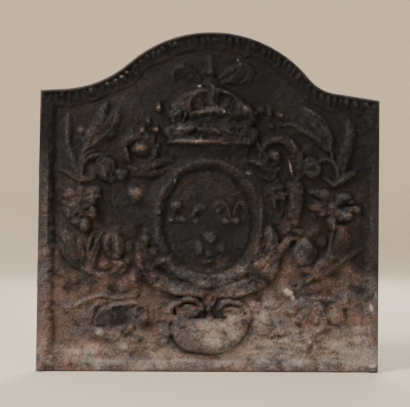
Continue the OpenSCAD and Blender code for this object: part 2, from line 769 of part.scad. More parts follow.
module low_bud_right() {
    h = bud_out;
    color(rusty) from_right() {
        dome([-113, 180], 10, 15, h);
        ridge([[-118, 162], [-126, 176], [-124, 190], [-114, 200]],
            [6, 9, 9, 3], [4, h * 0.8, h * 0.7, 3], 7);
        ridge([[-112, 162], [-102, 172], [-98, 184], [-101, 195]],
            [6, 8, 8, 3], [4, h * 0.8, h * 0.7, 3], 7);
    }
}

// ---------- foot: acanthus scrolls and shell ----------

// A stem that curls round on itself, with an acanthus frond at its shoulder, two lobes inside
// the curl and three lobes that run towards the shell
module scroll_left() {
    h = scroll_out;
    color(rusty) from_left() {
        ridge([[165, 88], [150, 97], [134, 101], [118, 101], [103, 96], [92, 85], [87, 71],
            [94, 57], [108, 46], [128, 40], [148, 42]],
            [3, 8, 9, 9, 9, 9, 10, 13, 11, 10, 5],
            [3, h * 0.7, h * 0.8, h * 0.8, h * 0.8, h * 0.8, h * 0.9, h, h * 0.8, h * 0.7, 4], 18);
        ridge([[106, 97], [96, 104], [84, 107], [70, 105], [58, 99]],
            [6, 9, 10, 8, 3], [h * 0.7, h * 0.8, h * 0.8, h * 0.6, 3], 7);
        ridge([[114, 98], [124, 89], [137, 85], [148, 78]], [5, 9, 10, 4], [4, h * 0.7, h * 0.7, 3], 6);
        ridge([[94, 60], [110, 66], [126, 67], [142, 60]],
            [7, 10, 12, 6], [h * 0.8, h * 0.7, h * 0.7, 4], 7);
        ridge([[138, 64], [154, 71], [168, 81], [181, 94]], [6, 9, 11, 4], [5, h * 0.6, h * 0.6, 3], 6);
        ridge([[136, 62], [154, 62], [174, 66], [191, 74]], [6, 9, 13, 4], [5, h * 0.7, h * 0.7, 3], 6);
        ridge([[142, 43], [156, 49], [172, 52], [189, 48]], [6, 9, 11, 4], [4, h * 0.6, h * 0.6, 3], 6);
    }
}

module scroll_right() {
    h = scroll_out;
    color(rusty) from_right() {
        ridge([[-161, 86], [-148, 95], [-134, 99], [-118, 102], [-103, 102], [-91, 96], [-85, 84],
            [-88, 69], [-99, 56], [-114, 49], [-132, 47]],
            [3, 8, 9, 8, 9, 10, 10, 10, 10, 10, 5],
            [3, h * 0.7, h * 0.8, h * 0.8, h * 0.8, h, h, h * 0.9, h * 0.8, h * 0.7, 4], 18);
        dome([-71, 91], 11, 8, h);
        ridge([[-68, 87], [-56, 97], [-54, 112]], [5, 8, 3], [4, h * 0.7, 3], 5);
        ridge([[-96, 94], [-105, 83], [-117, 78]], [6, 10, 4], [h * 0.7, h * 0.7, 3], 5);
        ridge([[-92, 64], [-108, 66], [-126, 70], [-144, 70]],
            [7, 10, 12, 6], [h * 0.8, h * 0.6, h * 0.6, 4], 7);
        ridge([[-140, 70], [-154, 70], [-172, 76], [-188, 84]],
            [6, 9, 12, 4], [5, h * 0.6, h * 0.6, 3], 6);
        ridge([[-126, 47], [-148, 53], [-170, 56], [-190, 54]],
            [6, 9, 12, 4], [4, h * 0.6, h * 0.6, 3], 6);
        ridge([[-86, 70], [-66, 71], [-48, 65], [-39, 46]],
            [7, 9, 9, 4], [h * 0.7, h * 0.6, h * 0.5, 3], 7);
    }
}

shell_hinge = [4, 82];

// Flutes that spread from the hinge over a thin flat half disc
module shell() {
    first = 186;
    sweep = 168;
    pitch = sweep / flutes;
    bed = 3;
    color(ashen) centred() {
        translate([shell_hinge[0], shell_hinge[1], 0]) linear_extrude(bed)
            polygon(concat([[-10, 0]], arc_points([0, 0], shell_r * 0.94, first, first + sweep),
                [[10, 0]]));
        for (i = [0:flutes - 1]) {
            a = first + (i + 0.5) * pitch;
            w = 2 * shell_r * tan(pitch / 2);
            ridge([ for (r = [8, shell_r * 0.6, shell_r]) shell_hinge + polar(r, a) ],
                [w * 0.26, w * 0.7, w * 0.8], [shell_out * 0.6, shell_out, shell_out * 0.55], 5);
        }
        dome(shell_hinge - [0, 11], 16, 9, shell_out * 0.7);
    }
}

module shell_volute_left() {
    h = scroll_out;
    color(ashen) centred() {
        ridge([[-55, 84], [-51, 96], [-40, 105], [-27, 107], [-15, 102], [-11, 93], [-18, 88], [-29, 91]],
            [5, 8, 9, 9, 8, 5, 4, 4], [4, h * 0.8, h, h, h * 0.8, h * 0.7, h * 0.6, 5], 13);
        dome([-29, 94], 9, 5.5, h, 8);
    }
}

module shell_volute_right() {
    h = scroll_out;
    color(ashen) centred() {
        ridge([[38, 91], [26, 88], [19, 93], [23, 102], [35, 107], [47, 105], [57, 96], [61, 84]],
            [4, 4, 5, 8, 9, 9, 8, 5], [5, h * 0.6, h * 0.7, h * 0.8, h, h, h * 0.8, 4], 13);
        dome([38, 94], 9, 5.5, h, -8);
    }
}

module shell_knob() {
    color(rusty) centred() {
        dome([4, 91], 5, 5.5, scroll_out);
        ridge([[4, 114], [4, 104], [4, 92]], [9, 6, 4], [6, 5, 4], 3);
    }
}

plate();
rim_top();
rim_left();
rim_right();
rim_bottom();
beads_top();
beads_left();
beads_right();
crown_neck();
crown_circlet();
crown_fleurons();
crown_cap();
crown_arches();
crown_finial();
crown_petal_left();
crown_petal_right();
berries_left();
berries_right();
shield_field();
shield_ring();
fleur_de_lis_left();
fleur_de_lis_right();
fleur_de_lis_bottom();
volute_left();
volute_right();
collar_leaf_left();
collar_leaf_right();
wing_left();
wing_right();
wing_leaf_left();
wing_leaf_right();
husk_left();
husk_right();
strap_left();
strap_right();
spray_left();
spray_right();
bud_left();
bud_right();
flower_left();
flower_right();
low_spray_left();
low_spray_right();
low_bud_left();
low_bud_right();
scroll_left();
scroll_right();
shell();
shell_volute_left();
shell_volute_right();
shell_knob();
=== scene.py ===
# %% [markdown]
# # A cast-iron fireback, dressed in soot, rust and ash, with painted light and shade
# A fireback is one iron plate. Its founder set carved pieces on a board, pressed
# them into sand and poured iron into the print. The imported model holds that board
# and its carved pieces as clean solids. This lesson turns them into the casting:
# softened by the sand, pitted, rubbed and burnt by years of fires, with highlights,
# glints and shade partly painted into its colour.

# %% Load the pattern
import json
import math

import bpy
import numpy as np
from mathutils import Matrix, Vector
from mathutils.geometry import delaunay_2d_cdt


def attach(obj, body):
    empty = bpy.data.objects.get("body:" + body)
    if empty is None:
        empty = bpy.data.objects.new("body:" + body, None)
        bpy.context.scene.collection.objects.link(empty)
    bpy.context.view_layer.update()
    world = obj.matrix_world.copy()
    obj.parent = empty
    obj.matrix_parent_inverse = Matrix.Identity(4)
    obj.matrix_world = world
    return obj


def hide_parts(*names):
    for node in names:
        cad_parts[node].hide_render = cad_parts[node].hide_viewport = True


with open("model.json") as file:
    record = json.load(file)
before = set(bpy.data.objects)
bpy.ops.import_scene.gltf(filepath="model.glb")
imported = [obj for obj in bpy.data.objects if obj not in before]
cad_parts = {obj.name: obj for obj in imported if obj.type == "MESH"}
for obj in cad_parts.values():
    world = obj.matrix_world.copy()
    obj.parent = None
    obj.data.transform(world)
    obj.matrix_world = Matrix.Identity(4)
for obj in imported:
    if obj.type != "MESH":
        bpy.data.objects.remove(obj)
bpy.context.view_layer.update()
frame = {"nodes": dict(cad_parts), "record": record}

# %% [markdown]
# ## Where the eye stands
# The plate is seen almost square on, from a little to the left and a little below
# its middle, through a long lens, so that its sides stay nearly parallel. The camera
# comes first, because every later choice of detail is judged through it.

# %% Camera
MM = 0.001
LENS_MM, SENSOR_MM = 85.0, 36.0
AIM = Vector((-6.5, -20.0, 253.0)) * MM
DISTANCE = 1.450
YAW, PITCH, ROLL = (math.radians(v) for v in (1.64, 0.82, 0.5))

back = -Vector((math.sin(YAW) * math.cos(PITCH), math.cos(YAW) * math.cos(PITCH), math.sin(PITCH)))
level = (-back).cross(Vector((0, 0, 1))).normalized()
upright = level.cross(-back)
right = level * math.cos(ROLL) + upright * math.sin(ROLL)
up = upright * math.cos(ROLL) - level * math.sin(ROLL)
camera = bpy.data.objects.new("camera", bpy.data.cameras.new("camera"))
bpy.context.scene.collection.objects.link(camera)
camera.data.lens, camera.data.sensor_width = LENS_MM, SENSOR_MM
turned = Matrix((right, up, back)).transposed().to_4x4()
camera.matrix_world = Matrix.Translation(AIM + back * DISTANCE) @ turned
bpy.context.scene.camera = camera
print("camera at", [round(v, 3) for v in camera.matrix_world.translation])

# %% [markdown]
# ## One height map for the whole casting
# Carved relief could be sculpted piece by piece, but sand rounds the joints between
# pieces as much as the pieces themselves. So all fronts are first drawn into one map
# of heights above the board, a point for each millimetre, and only the finished
# surface is cut up into pieces again. A second map remembers whose surface it is.

# %% The map's grid
STEP = 1.0
X_LOW, X_HIGH, Z_LOW, Z_HIGH = -262.0, 262.0, -4.0, 518.0
FACE_Y = -8.0
NOTHING = -1e3


def grid(step, reach=0.0):
    """Points over the whole board, a step apart."""
    return np.meshgrid(np.arange(X_LOW, X_HIGH + reach, step),
                       np.arange(Z_LOW, Z_HIGH + reach, step))


GX, GZ = grid(STEP, STEP / 2)
print("grid of", GX.shape[1], "by", GX.shape[0], "points")


# %% Draw each node's front into the map
def corners_of(node):
    """A node's triangles, as an array of corners in millimetres."""
    mesh = frame["nodes"][node].data
    mesh.calc_loop_triangles()
    places = np.empty(len(mesh.vertices) * 3)
    mesh.vertices.foreach_get("co", places)
    which = np.empty(len(mesh.loop_triangles) * 3, np.int32)
    mesh.loop_triangles.foreach_get("vertices", which)
    return places.reshape(-1, 3)[which].reshape(-1, 3, 3) / MM


def crossed_points(low, high, start):
    """The grid points from low to high along one axis, as a slice."""
    return slice(int(math.ceil((low - start) / STEP)), int((high - start) / STEP) + 1)


def front_of(node):
    """Height of a node's carved side above the board, in mm, or NOTHING."""
    tri = corners_of(node)
    facing = np.cross(tri[:, 1] - tri[:, 0], tri[:, 2] - tri[:, 0])[:, 1] < -1e-9
    heights = np.full(GX.shape, NOTHING)
    for (ax, ay, az), (bx, by, bz), (cx, cy, cz) in tri[facing]:
        here = (crossed_points(min(az, bz, cz), max(az, bz, cz), Z_LOW),
                crossed_points(min(ax, bx, cx), max(ax, bx, cx), X_LOW))
        area = (bx - ax) * (cz - az) - (cx - ax) * (bz - az)
        px, pz = GX[here], GZ[here]
        if not px.size or abs(area) < 1e-9:
            continue
        u = ((px - ax) * (cz - az) - (cx - ax) * (pz - az)) / area
        v = ((bx - ax) * (pz - az) - (px - ax) * (bz - az)) / area
        inside = (u > -1e-6) & (v > -1e-6) & (u + v < 1 + 1e-6)
        value = FACE_Y - (ay + u * (by - ay) + v * (cy - ay))
        heights[here][inside] = np.maximum(heights[here], value)[inside]
    return heights


names = ["plate"] + sorted(n for n in frame["nodes"] if n != "plate")
number = {n: i for i, n in enumerate(names)}
relief = np.zeros(GX.shape)
owner = np.zeros(GX.shape, np.int16)
for name in names[1:]:
    front = front_of(name)
    higher = front > relief + 1e-6
    relief[higher], owner[higher] = front[higher], number[name]
print("highest carving stands", round(float(relief.max()), 1), "mm above the board")

# %% [markdown]
# ## The board's outline
# The arch and the two leaning sides are read from the board's own face: edges that
# only one of its triangles uses run round it in a ring. Each grid point is told how
# deep inside the ring it lies and which point of the ring is nearest, so that edge
# mouldings can follow the arch and the finished rim is smooth instead of stepped.

# %% Outline and depth
def outline_of_board():
    """The board's front outline, in mm, anticlockwise as the carved side is seen."""
    tri = corners_of("plate")
    flat = tri[np.all(np.abs(tri[:, :, 1] - FACE_Y) < 1e-3, axis=1)][:, :, [0, 2]]
    ab, ac = flat[:, 1] - flat[:, 0], flat[:, 2] - flat[:, 0]
    turned = ab[:, 0] * ac[:, 1] < ac[:, 0] * ab[:, 1]
    flat[turned] = flat[turned][:, ::-1]
    follow = {}
    for corners in np.round(flat, 3).tolist():
        a, b, c = map(tuple, corners)
        for start, end in ((a, b), (b, c), (c, a)):
            if follow.get(end) and start in follow[end]:
                follow[end].discard(start)
            else:
                follow.setdefault(start, set()).add(end)
    ring = [min(p for p in follow if follow[p])]
    while True:
        after = next(iter(follow[ring[-1]]))
        if after == ring[0]:
            return np.array(ring)
        ring.append(after)


def nearest_on_path(px, pz, start, end):
    """Distance from points to a chain of segments, and the nearest place on it."""
    best = np.full(px.shape, 1e9)
    nx, nz = np.zeros(px.shape), np.zeros(px.shape)
    for (ax, az), (bx, bz) in zip(start, end):
        dx, dz = bx - ax, bz - az
        length = math.hypot(dx, dz)
        if length < 1e-9:
            continue
        t = np.clip(((px - ax) * dx + (pz - az) * dz) / length**2, 0, 1)
        qx, qz = ax + t * dx, az + t * dz
        gap = np.hypot(px - qx, pz - qz)
        nearer = gap < best
        best[nearer], nx[nearer], nz[nearer] = gap[nearer], qx[nearer], qz[nearer]
    return best, nx, nz


def within_path(px, pz, start, end):
    """True for points inside a closed chain of segments, by counting crossings."""
    within = np.zeros(px.shape, bool)
    for (ax, az), (bx, bz) in zip(start, end):
        if az != bz:
            crosses = (az > pz) != (bz > pz)
            within ^= crosses & (px < ax + (pz - az) / (bz - az) * (bx - ax))
    return within


def depth_of(px, pz):
    """How deep points lie inside the board's outline, and their nearest places on it."""
    gap, nx, nz = nearest_on_path(px, pz, edge_start, edge_end)
    return np.where(within_path(px, pz, edge_start, edge_end), gap, -gap), nx, nz


edge_start = outline_of_board()
edge_end = np.roll(edge_start, -1, axis=0)
DEPTH, NEAR_X, NEAR_Z = depth_of(GX, GZ)
ON_BOARD = DEPTH > 0
EDGE_RUNS = np.concatenate([[0], np.cumsum(np.hypot(*(edge_end - edge_start).T))])
print("outline of", len(edge_start), "corners,", round(EDGE_RUNS[-1]), "mm round")


# %% Blurring and seeded grain
def blur(field, sigma):
    """Softens a map over sigma mm, as sand softens a print."""
    high, wide = field.shape
    fz = np.fft.fftfreq(high * 2)[:, None]
    fx = np.fft.rfftfreq(wide * 2)[None, :]
    gauss = np.exp(-2 * (math.pi * sigma / STEP) ** 2 * (fx**2 + fz**2))
    pad = np.pad(field, ((0, high), (0, wide)), mode="symmetric")
    return np.fft.irfft2(np.fft.rfft2(pad) * gauss, pad.shape)[:high, :wide]


def grain(seed, sigma):
    """Smooth random hills about sigma * 4 mm across, mean 0 and spread 1."""
    hills = blur(np.random.default_rng(seed).standard_normal(GX.shape), sigma)
    return (hills - hills.mean()) / hills.std()


def grains(*layers):
    """Grain on grain, from layers of (height in mm, seed, size in mm)."""
    return sum(high * grain(seed, size) for high, seed, size in layers)


def ramp(value, low, high):
    """0 below low, 1 above high, and a soft rise between."""
    t = np.clip((value - low) / (high - low), 0, 1)
    return t * t * (3 - 2 * t)


def soften(field, sigma):
    """Blurs the relief without letting the emptiness outside the board leak in."""
    weight = blur(ON_BOARD.astype(float), sigma)
    return blur(np.where(ON_BOARD, field, 0), sigma) / np.maximum(weight, 0.05)


def sample(field, x, z):
    """Reads a map between its grid points."""
    c = np.clip((x - X_LOW) / STEP, 0, field.shape[1] - 1.001)
    r = np.clip((z - Z_LOW) / STEP, 0, field.shape[0] - 1.001)
    ci, ri = c.astype(int), r.astype(int)
    cf, rf = c - ci, r - ri
    return ((field[ri, ci] * (1 - cf) + field[ri, ci + 1] * cf) * (1 - rf)
            + (field[ri + 1, ci] * (1 - cf) + field[ri + 1, ci + 1] * cf) * rf)


def grid_place(x, z):
    """Row and column of the grid point nearest to each place."""
    return (np.clip(np.round((z - Z_LOW) / STEP), 0, GX.shape[0] - 1).astype(int),
            np.clip(np.round((x - X_LOW) / STEP), 0, GX.shape[1] - 1).astype(int))


def turned_oval(px, pz, x, z, rx, rz, turn=0.0):
    """Squared distance from the middle of an oval, 1 on its rim; it is turned in degrees."""
    a = math.radians(turn)
    dx, dz = px - x, pz - z
    u = (dx * math.cos(a) + dz * math.sin(a)) / rx
    v = (dz * math.cos(a) - dx * math.sin(a)) / rz
    return u * u + v * v


print("hills of grain from", round(float(grain(1, 2.0).min()), 1), "to",
      round(float(grain(1, 2.0).max()), 1))

# %% [markdown]
# ## Chisel strokes
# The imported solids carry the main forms. The carver's finer cuts, such as leaf veins,
# petal ribs, mouldings and worn lumps, come here as strokes. A stroke is a chain of
# knots (x, z, half width, height) swept by a rounded chisel, a lump is an oval
# (x, z, half width, half height, height, turn), and a block fills a flowing outline.
# Each is laid on the board, or added to what is there, or cut in when it is negative.

# %% Chisel tools
def window(points, reach):
    """The part of the grid that is within reach of some points."""
    p = np.asarray(points, float)
    c0, c1 = (p[:, 0].min() - reach - X_LOW) / STEP, (p[:, 0].max() + reach - X_LOW) / STEP
    r0, r1 = (p[:, 1].min() - reach - Z_LOW) / STEP, (p[:, 1].max() + reach - Z_LOW) / STEP
    return tuple(slice(max(int(low), 0), max(int(high) + 2, 0))
                 for low, high in ((r0, r1), (c0, c1)))


def flowing(knots, between=5):
    """A smooth chain through knots of any number of values."""
    k = np.asarray(knots, float)
    if len(k) < 3:
        return k
    k = np.concatenate([2 * k[:1] - k[1:2], k, 2 * k[-1:] - k[-2:-1]])
    t = np.linspace(0, 1, between, endpoint=False)[:, None]
    out = [0.5 * (2 * b + (c - a) * t + (2 * a - 5 * b + 4 * c - d) * t**2
                  + (3 * b - a - 3 * c + d) * t**3)
           for a, b, c, d in zip(k, k[1:], k[2:], k[3:])]
    return np.concatenate(out + [k[-2:-1]])


def settle(node, where, value, laid):
    """Lays a form on the board, or adds it to what is there, and claims bare board."""
    patch, mine = relief[where], owner[where]
    before = patch.copy()
    if laid:
        np.maximum(patch, value, out=patch)
    else:
        patch += value
        np.maximum(patch, 0, out=patch)
    if node != "plate":
        bare = (mine == 0) & (patch > before + 0.05) & (patch > 0.3)
        mine[bare] = number[node]


def stroke(node, knots, laid, power=1.0):
    """Sweeps a rounded chisel along knots of (x, z, half width, height)."""
    chain = flowing(knots)
    where = window(chain, float(np.max(chain[:, 2])) + 1)
    px, pz = GX[where], GZ[where]
    value = np.zeros(px.shape)
    for (ax, az, aw, ah), (bx, bz, bw, bh) in zip(chain, chain[1:]):
        dx, dz = bx - ax, bz - az
        length = max(math.hypot(dx, dz), 1e-6)
        t = np.clip(((px - ax) * dx + (pz - az) * dz) / length**2, 0, 1)
        off = np.hypot(px - ax - t * dx, pz - az - t * dz) / np.maximum(aw + t * (bw - aw), 0.3)
        shape = (ah + t * (bh - ah)) * np.maximum(1 - off**2, 0) ** power
        value = np.where(np.abs(shape) > np.abs(value), shape, value)
    settle(node, where, value, laid)


def lay(node, *paths, power=1.0):
    """Lays ridges on the board."""
    for knots in paths:
        stroke(node, knots, True, power)


def cut(node, *paths):
    """Adds ridges to what is there, or cuts grooves where their height is negative."""
    for knots in paths:
        stroke(node, knots, False)


def even(size, *places):
    """Knots or lumps that are all of one size."""
    return [(*place, *size) for place in places]


def lumps(node, *rows, laid=True, power=0.7):
    """Lays oval lumps on the board."""
    for x, z, rx, rz, height, *turn in rows:
        where = window([(x, z)], max(rx, rz) + 1)
        oval = turned_oval(GX[where], GZ[where], x, z, rx, rz, *turn)
        settle(node, where, height * np.maximum(1 - oval, 0) ** power, laid)


def swell(node, *rows, power=0.7):
    """Adds lumps to what is there, or cuts hollows where their height is negative."""
    lumps(node, *rows, laid=False, power=power)


def block(node, height, edge, *loop, laid=True):
    """A raised form with a flowing outline and rounded shoulders."""
    ring = flowing(loop + loop[:1], 4)
    where = window(ring, 2)
    px, pz = GX[where], GZ[where]
    t = np.clip(nearest_on_path(px, pz, ring[:-1], ring[1:])[0] / edge, 0, 1)
    rounded = height * np.sqrt(np.maximum(1 - (1 - t) ** 2, 0))
    settle(node, where, np.where(within_path(px, pz, ring[:-1], ring[1:]), rounded, 0), laid)


def worn(shares):
    """Wears whole pieces down to a share of their height."""
    for node, share in shares.items():
        relief[owner == number[node]] *= share


print("tools: lay and cut ridges, lumps and swell for ovals, and block")

# %% [markdown]
# ## The beaded border
# The founder ran a plain fillet round the board and pressed a row of slanted drops into
# the bed beside it. Only the drops along the arch still stand. Down the sides they have
# sunk to faint ribs. So the bed is first lowered, then drop after drop is laid, each
# with a length, height and slant of its own, at a step that wanders a little.

# %% Carve the border
def along(run, depth):
    """A place on the board: this far round the outline and this deep inside it."""
    i = int(np.clip(np.searchsorted(EDGE_RUNS, run) - 1, 0, len(edge_start) - 1))
    (ax, az), (bx, bz) = edge_start[i], edge_end[i]
    length = max(math.hypot(bx - ax, bz - az), 1e-6)
    ux, uz = (bx - ax) / length, (bz - az) / length
    step = run - EDGE_RUNS[i]
    return ax + ux * step - uz * depth, az + uz * step + ux * depth


def run_of(x, z):
    """How far round the outline its nearest corner to a place is."""
    return float(EDGE_RUNS[np.argmin(np.hypot(edge_start[:, 0] - x, edge_start[:, 1] - z))])


def beside_edge(run, *knots):
    """Knots of (how much further round, depth, half width, height), set along the outline."""
    return [(*along(run + further, depth), *size) for further, depth, *size in knots]


def draws(*spans):
    """One random value from each span, in their order."""
    return [chance.uniform(*span) for span in spans]


BED_MM, BED_FROM, BED_TO = 2.6, 6.5, 27
on_arch = (owner == number["rim_top"]) | (owner == number["beads_top"])
bed = on_arch & (DEPTH > BED_FROM) & (DEPTH < BED_TO)
relief[bed] = np.minimum(relief[bed], BED_MM)
right_corner, left_corner = run_of(258, 411), run_of(-256, 421)
chance = np.random.default_rng(5)
bead_tips = []
run = right_corner + 17
while run < left_corner - 16:
    tall, lean, shift, wide = draws((0.55, 1.2), (0.5, 5.5), (-1.6, 1.6), (0.75, 1.35))
    lay("beads_top", beside_edge(
        run, (lean, 6.5 + shift, 2.4 * wide, 5.8 * tall),
        (lean * 0.4, 10.5 + shift, 3.4 * wide, 8.6 * tall),
        (-lean * 0.4, 15.5 + shift, 3.6 * wide, 6.4 * tall),
        (-lean, 21 + shift, 2.4 * wide, 2.8 * tall)), power=0.6)
    bead_tips.append((*along(run + lean * 0.5, 9.5 + shift), tall))
    run += chance.uniform(7.4, 12.4) * (0.6 + 0.4 * wide)
for side, start, stop, strength, groove in (
        ("left", left_corner + 22, left_corner + 400, 0.75, 1.0),
        ("right", right_corner - 395, right_corner - 22, 0.35, 0.7)):
    node = "rim_" + side
    sunk = ((owner == number[node]) | (owner == number["beads_" + side])) & (DEPTH > 8)
    relief[sunk] = np.interp(DEPTH, [8, 15, 20, 24, 27], [7.2, 6.2, 4.8, 1.6, 0])[sunk]
    run = start
    while run < stop:
        fade = strength * float(np.interp(along(run, 20)[1], [20, 80, 300, 345], [0.2, 1, 1, 0]))
        tall, lean, deep = draws((0.2, 1.2), (-2, 6), (18.5, 23))
        tall *= fade
        cut(node, beside_edge(run, (lean, deep - 7, 2.6, 0.8 * tall), (0, deep - 3, 5.2, 2 * tall),
                              (-lean, deep, 4.2, 2.2 * tall)),
            beside_edge(run, (-5, deep + 3, 2.4, -2.6 * tall), (0, deep + 4.5, 2.2, -3 * tall),
                        (6, deep + 1, 2.6, -3.4 * tall), (7, deep - 4, 1.8, -1.6 * tall)))
        run += chance.uniform(11, 24)
    cut(node, [(*along(r, 24.5 + chance.uniform(-0.7, 0.7)), chance.uniform(1.6, 2.4),
                -chance.uniform(0.6, 1.8) * groove
                * float(np.interp(along(r, 20)[1], [310, 350], [1, 0.15])))
               for r in np.arange(start - 8, stop, 14)])
print("border carved")

# %% [markdown]
# ## The crown
# A closed crown: a rough band below with a bright lower lip, a row of leaf points over
# dark hollows, two wide lobes with an opening in each, a middle stem that meets them
# under the orb, and two drooping leaves beside it. The body is laid full and the
# openings are cut back into it, as the carver did.

# %% Carve the crown
block("crown_circlet", 9.5, 4, (-61, 342), (-61, 371), (61, 371), (61, 342))
block("crown_fleurons", 8.5, 4, (-59, 370), (-61, 392), (0, 396), (62, 392), (60, 370))
band = window([(-60, 342), (60, 372)], 0)
relief[band] = np.minimum(relief[band], 9.6)
relief[band] += grains((1.1, 40, 1.5), (0.8, 41, 3))[band] * (relief[band] > 4)
lay("crown_circlet",
    [(-59, 369.5, 2.6, 10.8), (-30, 371, 3, 11.8), (0, 371, 2.8, 11.2), (30, 371, 2.6, 11),
     (59, 370, 2.2, 10)],
    [(-61, 345.5, 4.2, 11.6), (-15, 346.5, 4.6, 12.6), (10, 346, 4, 11.6), (34, 346, 3, 10.6),
     (60, 345, 2.8, 9.8)])
cut("crown_circlet",
    [(-40, 352, 1.6, -1.5), (0, 352, 1.8, -2), (50, 352, 1.6, -1.5)],
    [(-40, 355, 3, -1.5), (-24, 356, 5, -3.4), (-8, 355.5, 4.6, -3.2), (14, 355, 4, -2.6),
     (40, 355, 4, -2.4), (60, 355, 3, -2)],
    [(-56, 363, 3.4, 1.8), (-20, 364, 3.2, 1.6), (20, 363, 3, 1.2), (56, 363, 3, 1)])
swell("crown_circlet", *even((4.2, 3.2, 2.2), (-50, 360), (-44, 364), (-40, 356), (-31, 365),
      (-16, 363), (14, 359), (27, 362), (43, 357)))
block("crown_arches", 11, 7, (-61, 388), (-62, 402), (-53, 411), (-41, 418), (-26, 425), (-12, 429),
      (1, 431), (14, 429), (29, 424), (42, 417), (54, 409), (62, 400), (63, 386), (0, 384))
swell("crown_arches", (-43, 400, 10, 8, 2.6, -18), (-54, 396, 6, 6, 1.6), (45, 400, 8, 7, 2.4, 20),
      (54, 397, 5, 5, 1.8))
cut("crown_arches",
    even((1.5, -1.7), (-57, 402), (-48, 410), (-36, 416)),
    even((1.5, -1.7), (-50, 398), (-42, 407), (-33, 411)),
    even((1.5, -1.7), (57, 401), (48, 410), (38, 416)),
    even((1.5, -1.7), (48, 395), (46, 405), (42, 411)))
block("crown_cap", -4.6, 4, (-28, 391), (-29, 402), (-26, 411), (-17, 418), (-8, 421), (-6, 412),
      (-7, 400), (-8, 391), laid=False)
block("crown_cap", -4.6, 4, (13, 391), (13, 408), (16, 420), (26, 419), (35, 414), (39, 404),
      (38, 391), laid=False)
swell("crown_cap", (-16.5, 401, 8.5, 13, 3), (25.5, 401, 10, 13, 3), power=1)
cut("crown_arches",
    [(-7, 425, 2, 1.8), (-17, 421.5, 2.2, 3), (-26, 415, 2, 2), (-30.5, 405, 2, 1.4),
     (-31, 394, 1.8, 1)],
    [(13, 425, 2, 2), (22, 422, 2.2, 3.2), (31, 418.5, 2.2, 3), (38.5, 412, 2, 1.8),
     (41, 398, 1.8, 1)])
lay("crown_arches", [(3, 430, 6.5, 12.5), (3, 418, 6.5, 12.6), (3, 406, 7.5, 12.6),
     (4, 397, 10, 13)], power=0.5)
cut("crown_arches",
    even((1.3, -1.2), (-2, 426), (-1, 408)),
    even((1.3, -1.2), (8, 426), (7, 408)))
cut("crown_fleurons", [(-4, 400, 2.6, 1.6), (4, 403, 3, 2.2), (11, 399, 2.6, 1.8),
     (14, 393, 2.4, 1.5)])
lumps("crown_fleurons", (-58, 387, 7, 5, 10.5), (-48, 390, 8, 6, 12), (-36, 387, 7, 6, 11.5),
      (-24, 389, 8, 5.5, 12), (-11, 391, 8, 6, 12.5), (4, 393, 10, 7, 13), (18, 391, 8, 6, 12.5),
      (30, 389, 7, 5, 11.5), (42, 389, 8, 5, 11.5), (54, 387, 8, 5, 10.5), (63, 386, 4, 4, 8))
cut("crown_fleurons",
    even((4.6, -4.6), (-52, 381), (-46, 378), (-41, 383)),
    even((4.6, -4.6), (-34, 379), (-24, 379), (-14, 382), (-5, 384)),
    even((4.6, -4.6), (5, 384), (14, 380), (22, 382), (23, 387)),
    even((4.6, -4.6), (30, 381), (42, 380), (56, 382)))
cut("crown_fleurons", [(-55, 383, 2.4, 3), (-50, 391, 2.6, 3.5), (-44, 389, 2.2, 3),
     (-42, 380, 1.8, 2)])
for x, high in ((-41, -4), (-37, 4.5), (-33, -4), (-28, 1.5), (-12, 2), (1, 2.5), (26, 2.5),
                (38, 1.5)):
    cut("crown_fleurons", [(x - 1, 377, 1.6, high * 0.8), (x, 383, 1.7, high),
                           (x + 0.5, 389, 1.5, high * 0.7)])
swell("crown_fleurons", (21, 391, 3.2, 3.2, 3))
lumps("crown_fleurons", (69, 389, 4, 4, 6))
block("crown_petal_left", 5, 8, (-12, 433), (-24, 436), (-38, 440), (-52, 448), (-57, 458),
      (-49, 465), (-38, 467), (-29, 459), (-20, 449), (-11, 441))
cut("crown_petal_left",
    [(-38, 465, 1.8, -2.4), (-28, 453, 2, -2.8), (-18, 444, 1.6, -2)],
    [(-52, 452, 2.4, -2.2), (-40, 446, 2, -1.8), (-24, 438, 1.6, -1)],
    [(-51, 459, 3.4, 1.6), (-42, 458, 3.4, 1.6), (-30, 448, 2.4, 1.2)])
block("crown_petal_right", 5, 8, (13, 433), (22, 441), (32, 452), (36, 465), (48, 468), (62, 466),
      (69, 457), (69, 445), (60, 437), (38, 432))
worn({"crown_petal_left": 0.7, "crown_petal_right": 0.7})
cut("crown_petal_right",
    even((2.2, -2.8), (34, 463), (40, 455), (26, 441)),
    even((2.2, -2.8), (50, 460), (56, 450), (44, 438)),
    even((2.2, -2.8), (62, 466), (69, 455), (70, 440)))
cut("crown_petal_right", [(44, 465, 2, 1.6), (54, 464, 2.4, 2.2), (61, 456, 2.4, 2.2),
     (62, 444, 2, 1.4)])
lumps("crown_finial", (3, 452, 7, 7, 7))
relief[(owner == number["crown_finial"]) & (GZ > 433)] *= 0.7
lay("crown_finial", [(4, 431, 15, 4), (4, 438, 11, 4.6), (3, 444, 8, 5.2), (2, 458, 6.5, 4.6),
     (1, 466, 6.5, 4.2), (1, 475, 5.5, 3)])
swell("crown_finial", (3, 452, 6.5, 6.5, 3.6), (-16, 430, 6.5, 3.2, 3.5, -15))
lumps("berries_left", (-77, 396, 6, 9, 11), (-80, 364, 7, 6.5, 10.5), (-102, 363, 6, 6.5, 9),
      (-92, 376, 4, 6.5, 8), (-110, 378, 3.6, 4.5, 4.5), (-94, 355, 5, 4, 5), (-118, 362, 4, 4, 3))
lumps("berries_right", (79, 394, 6.5, 7, 6), (107, 388, 5.5, 5, 6.5), (92, 398, 6, 6, 3.5),
      (124, 374, 4, 4, 5), (90, 384, 4, 4, 3.5))
swell("plate", (-73, 366, 4.5, 5, -1.6))
print("crown carved")

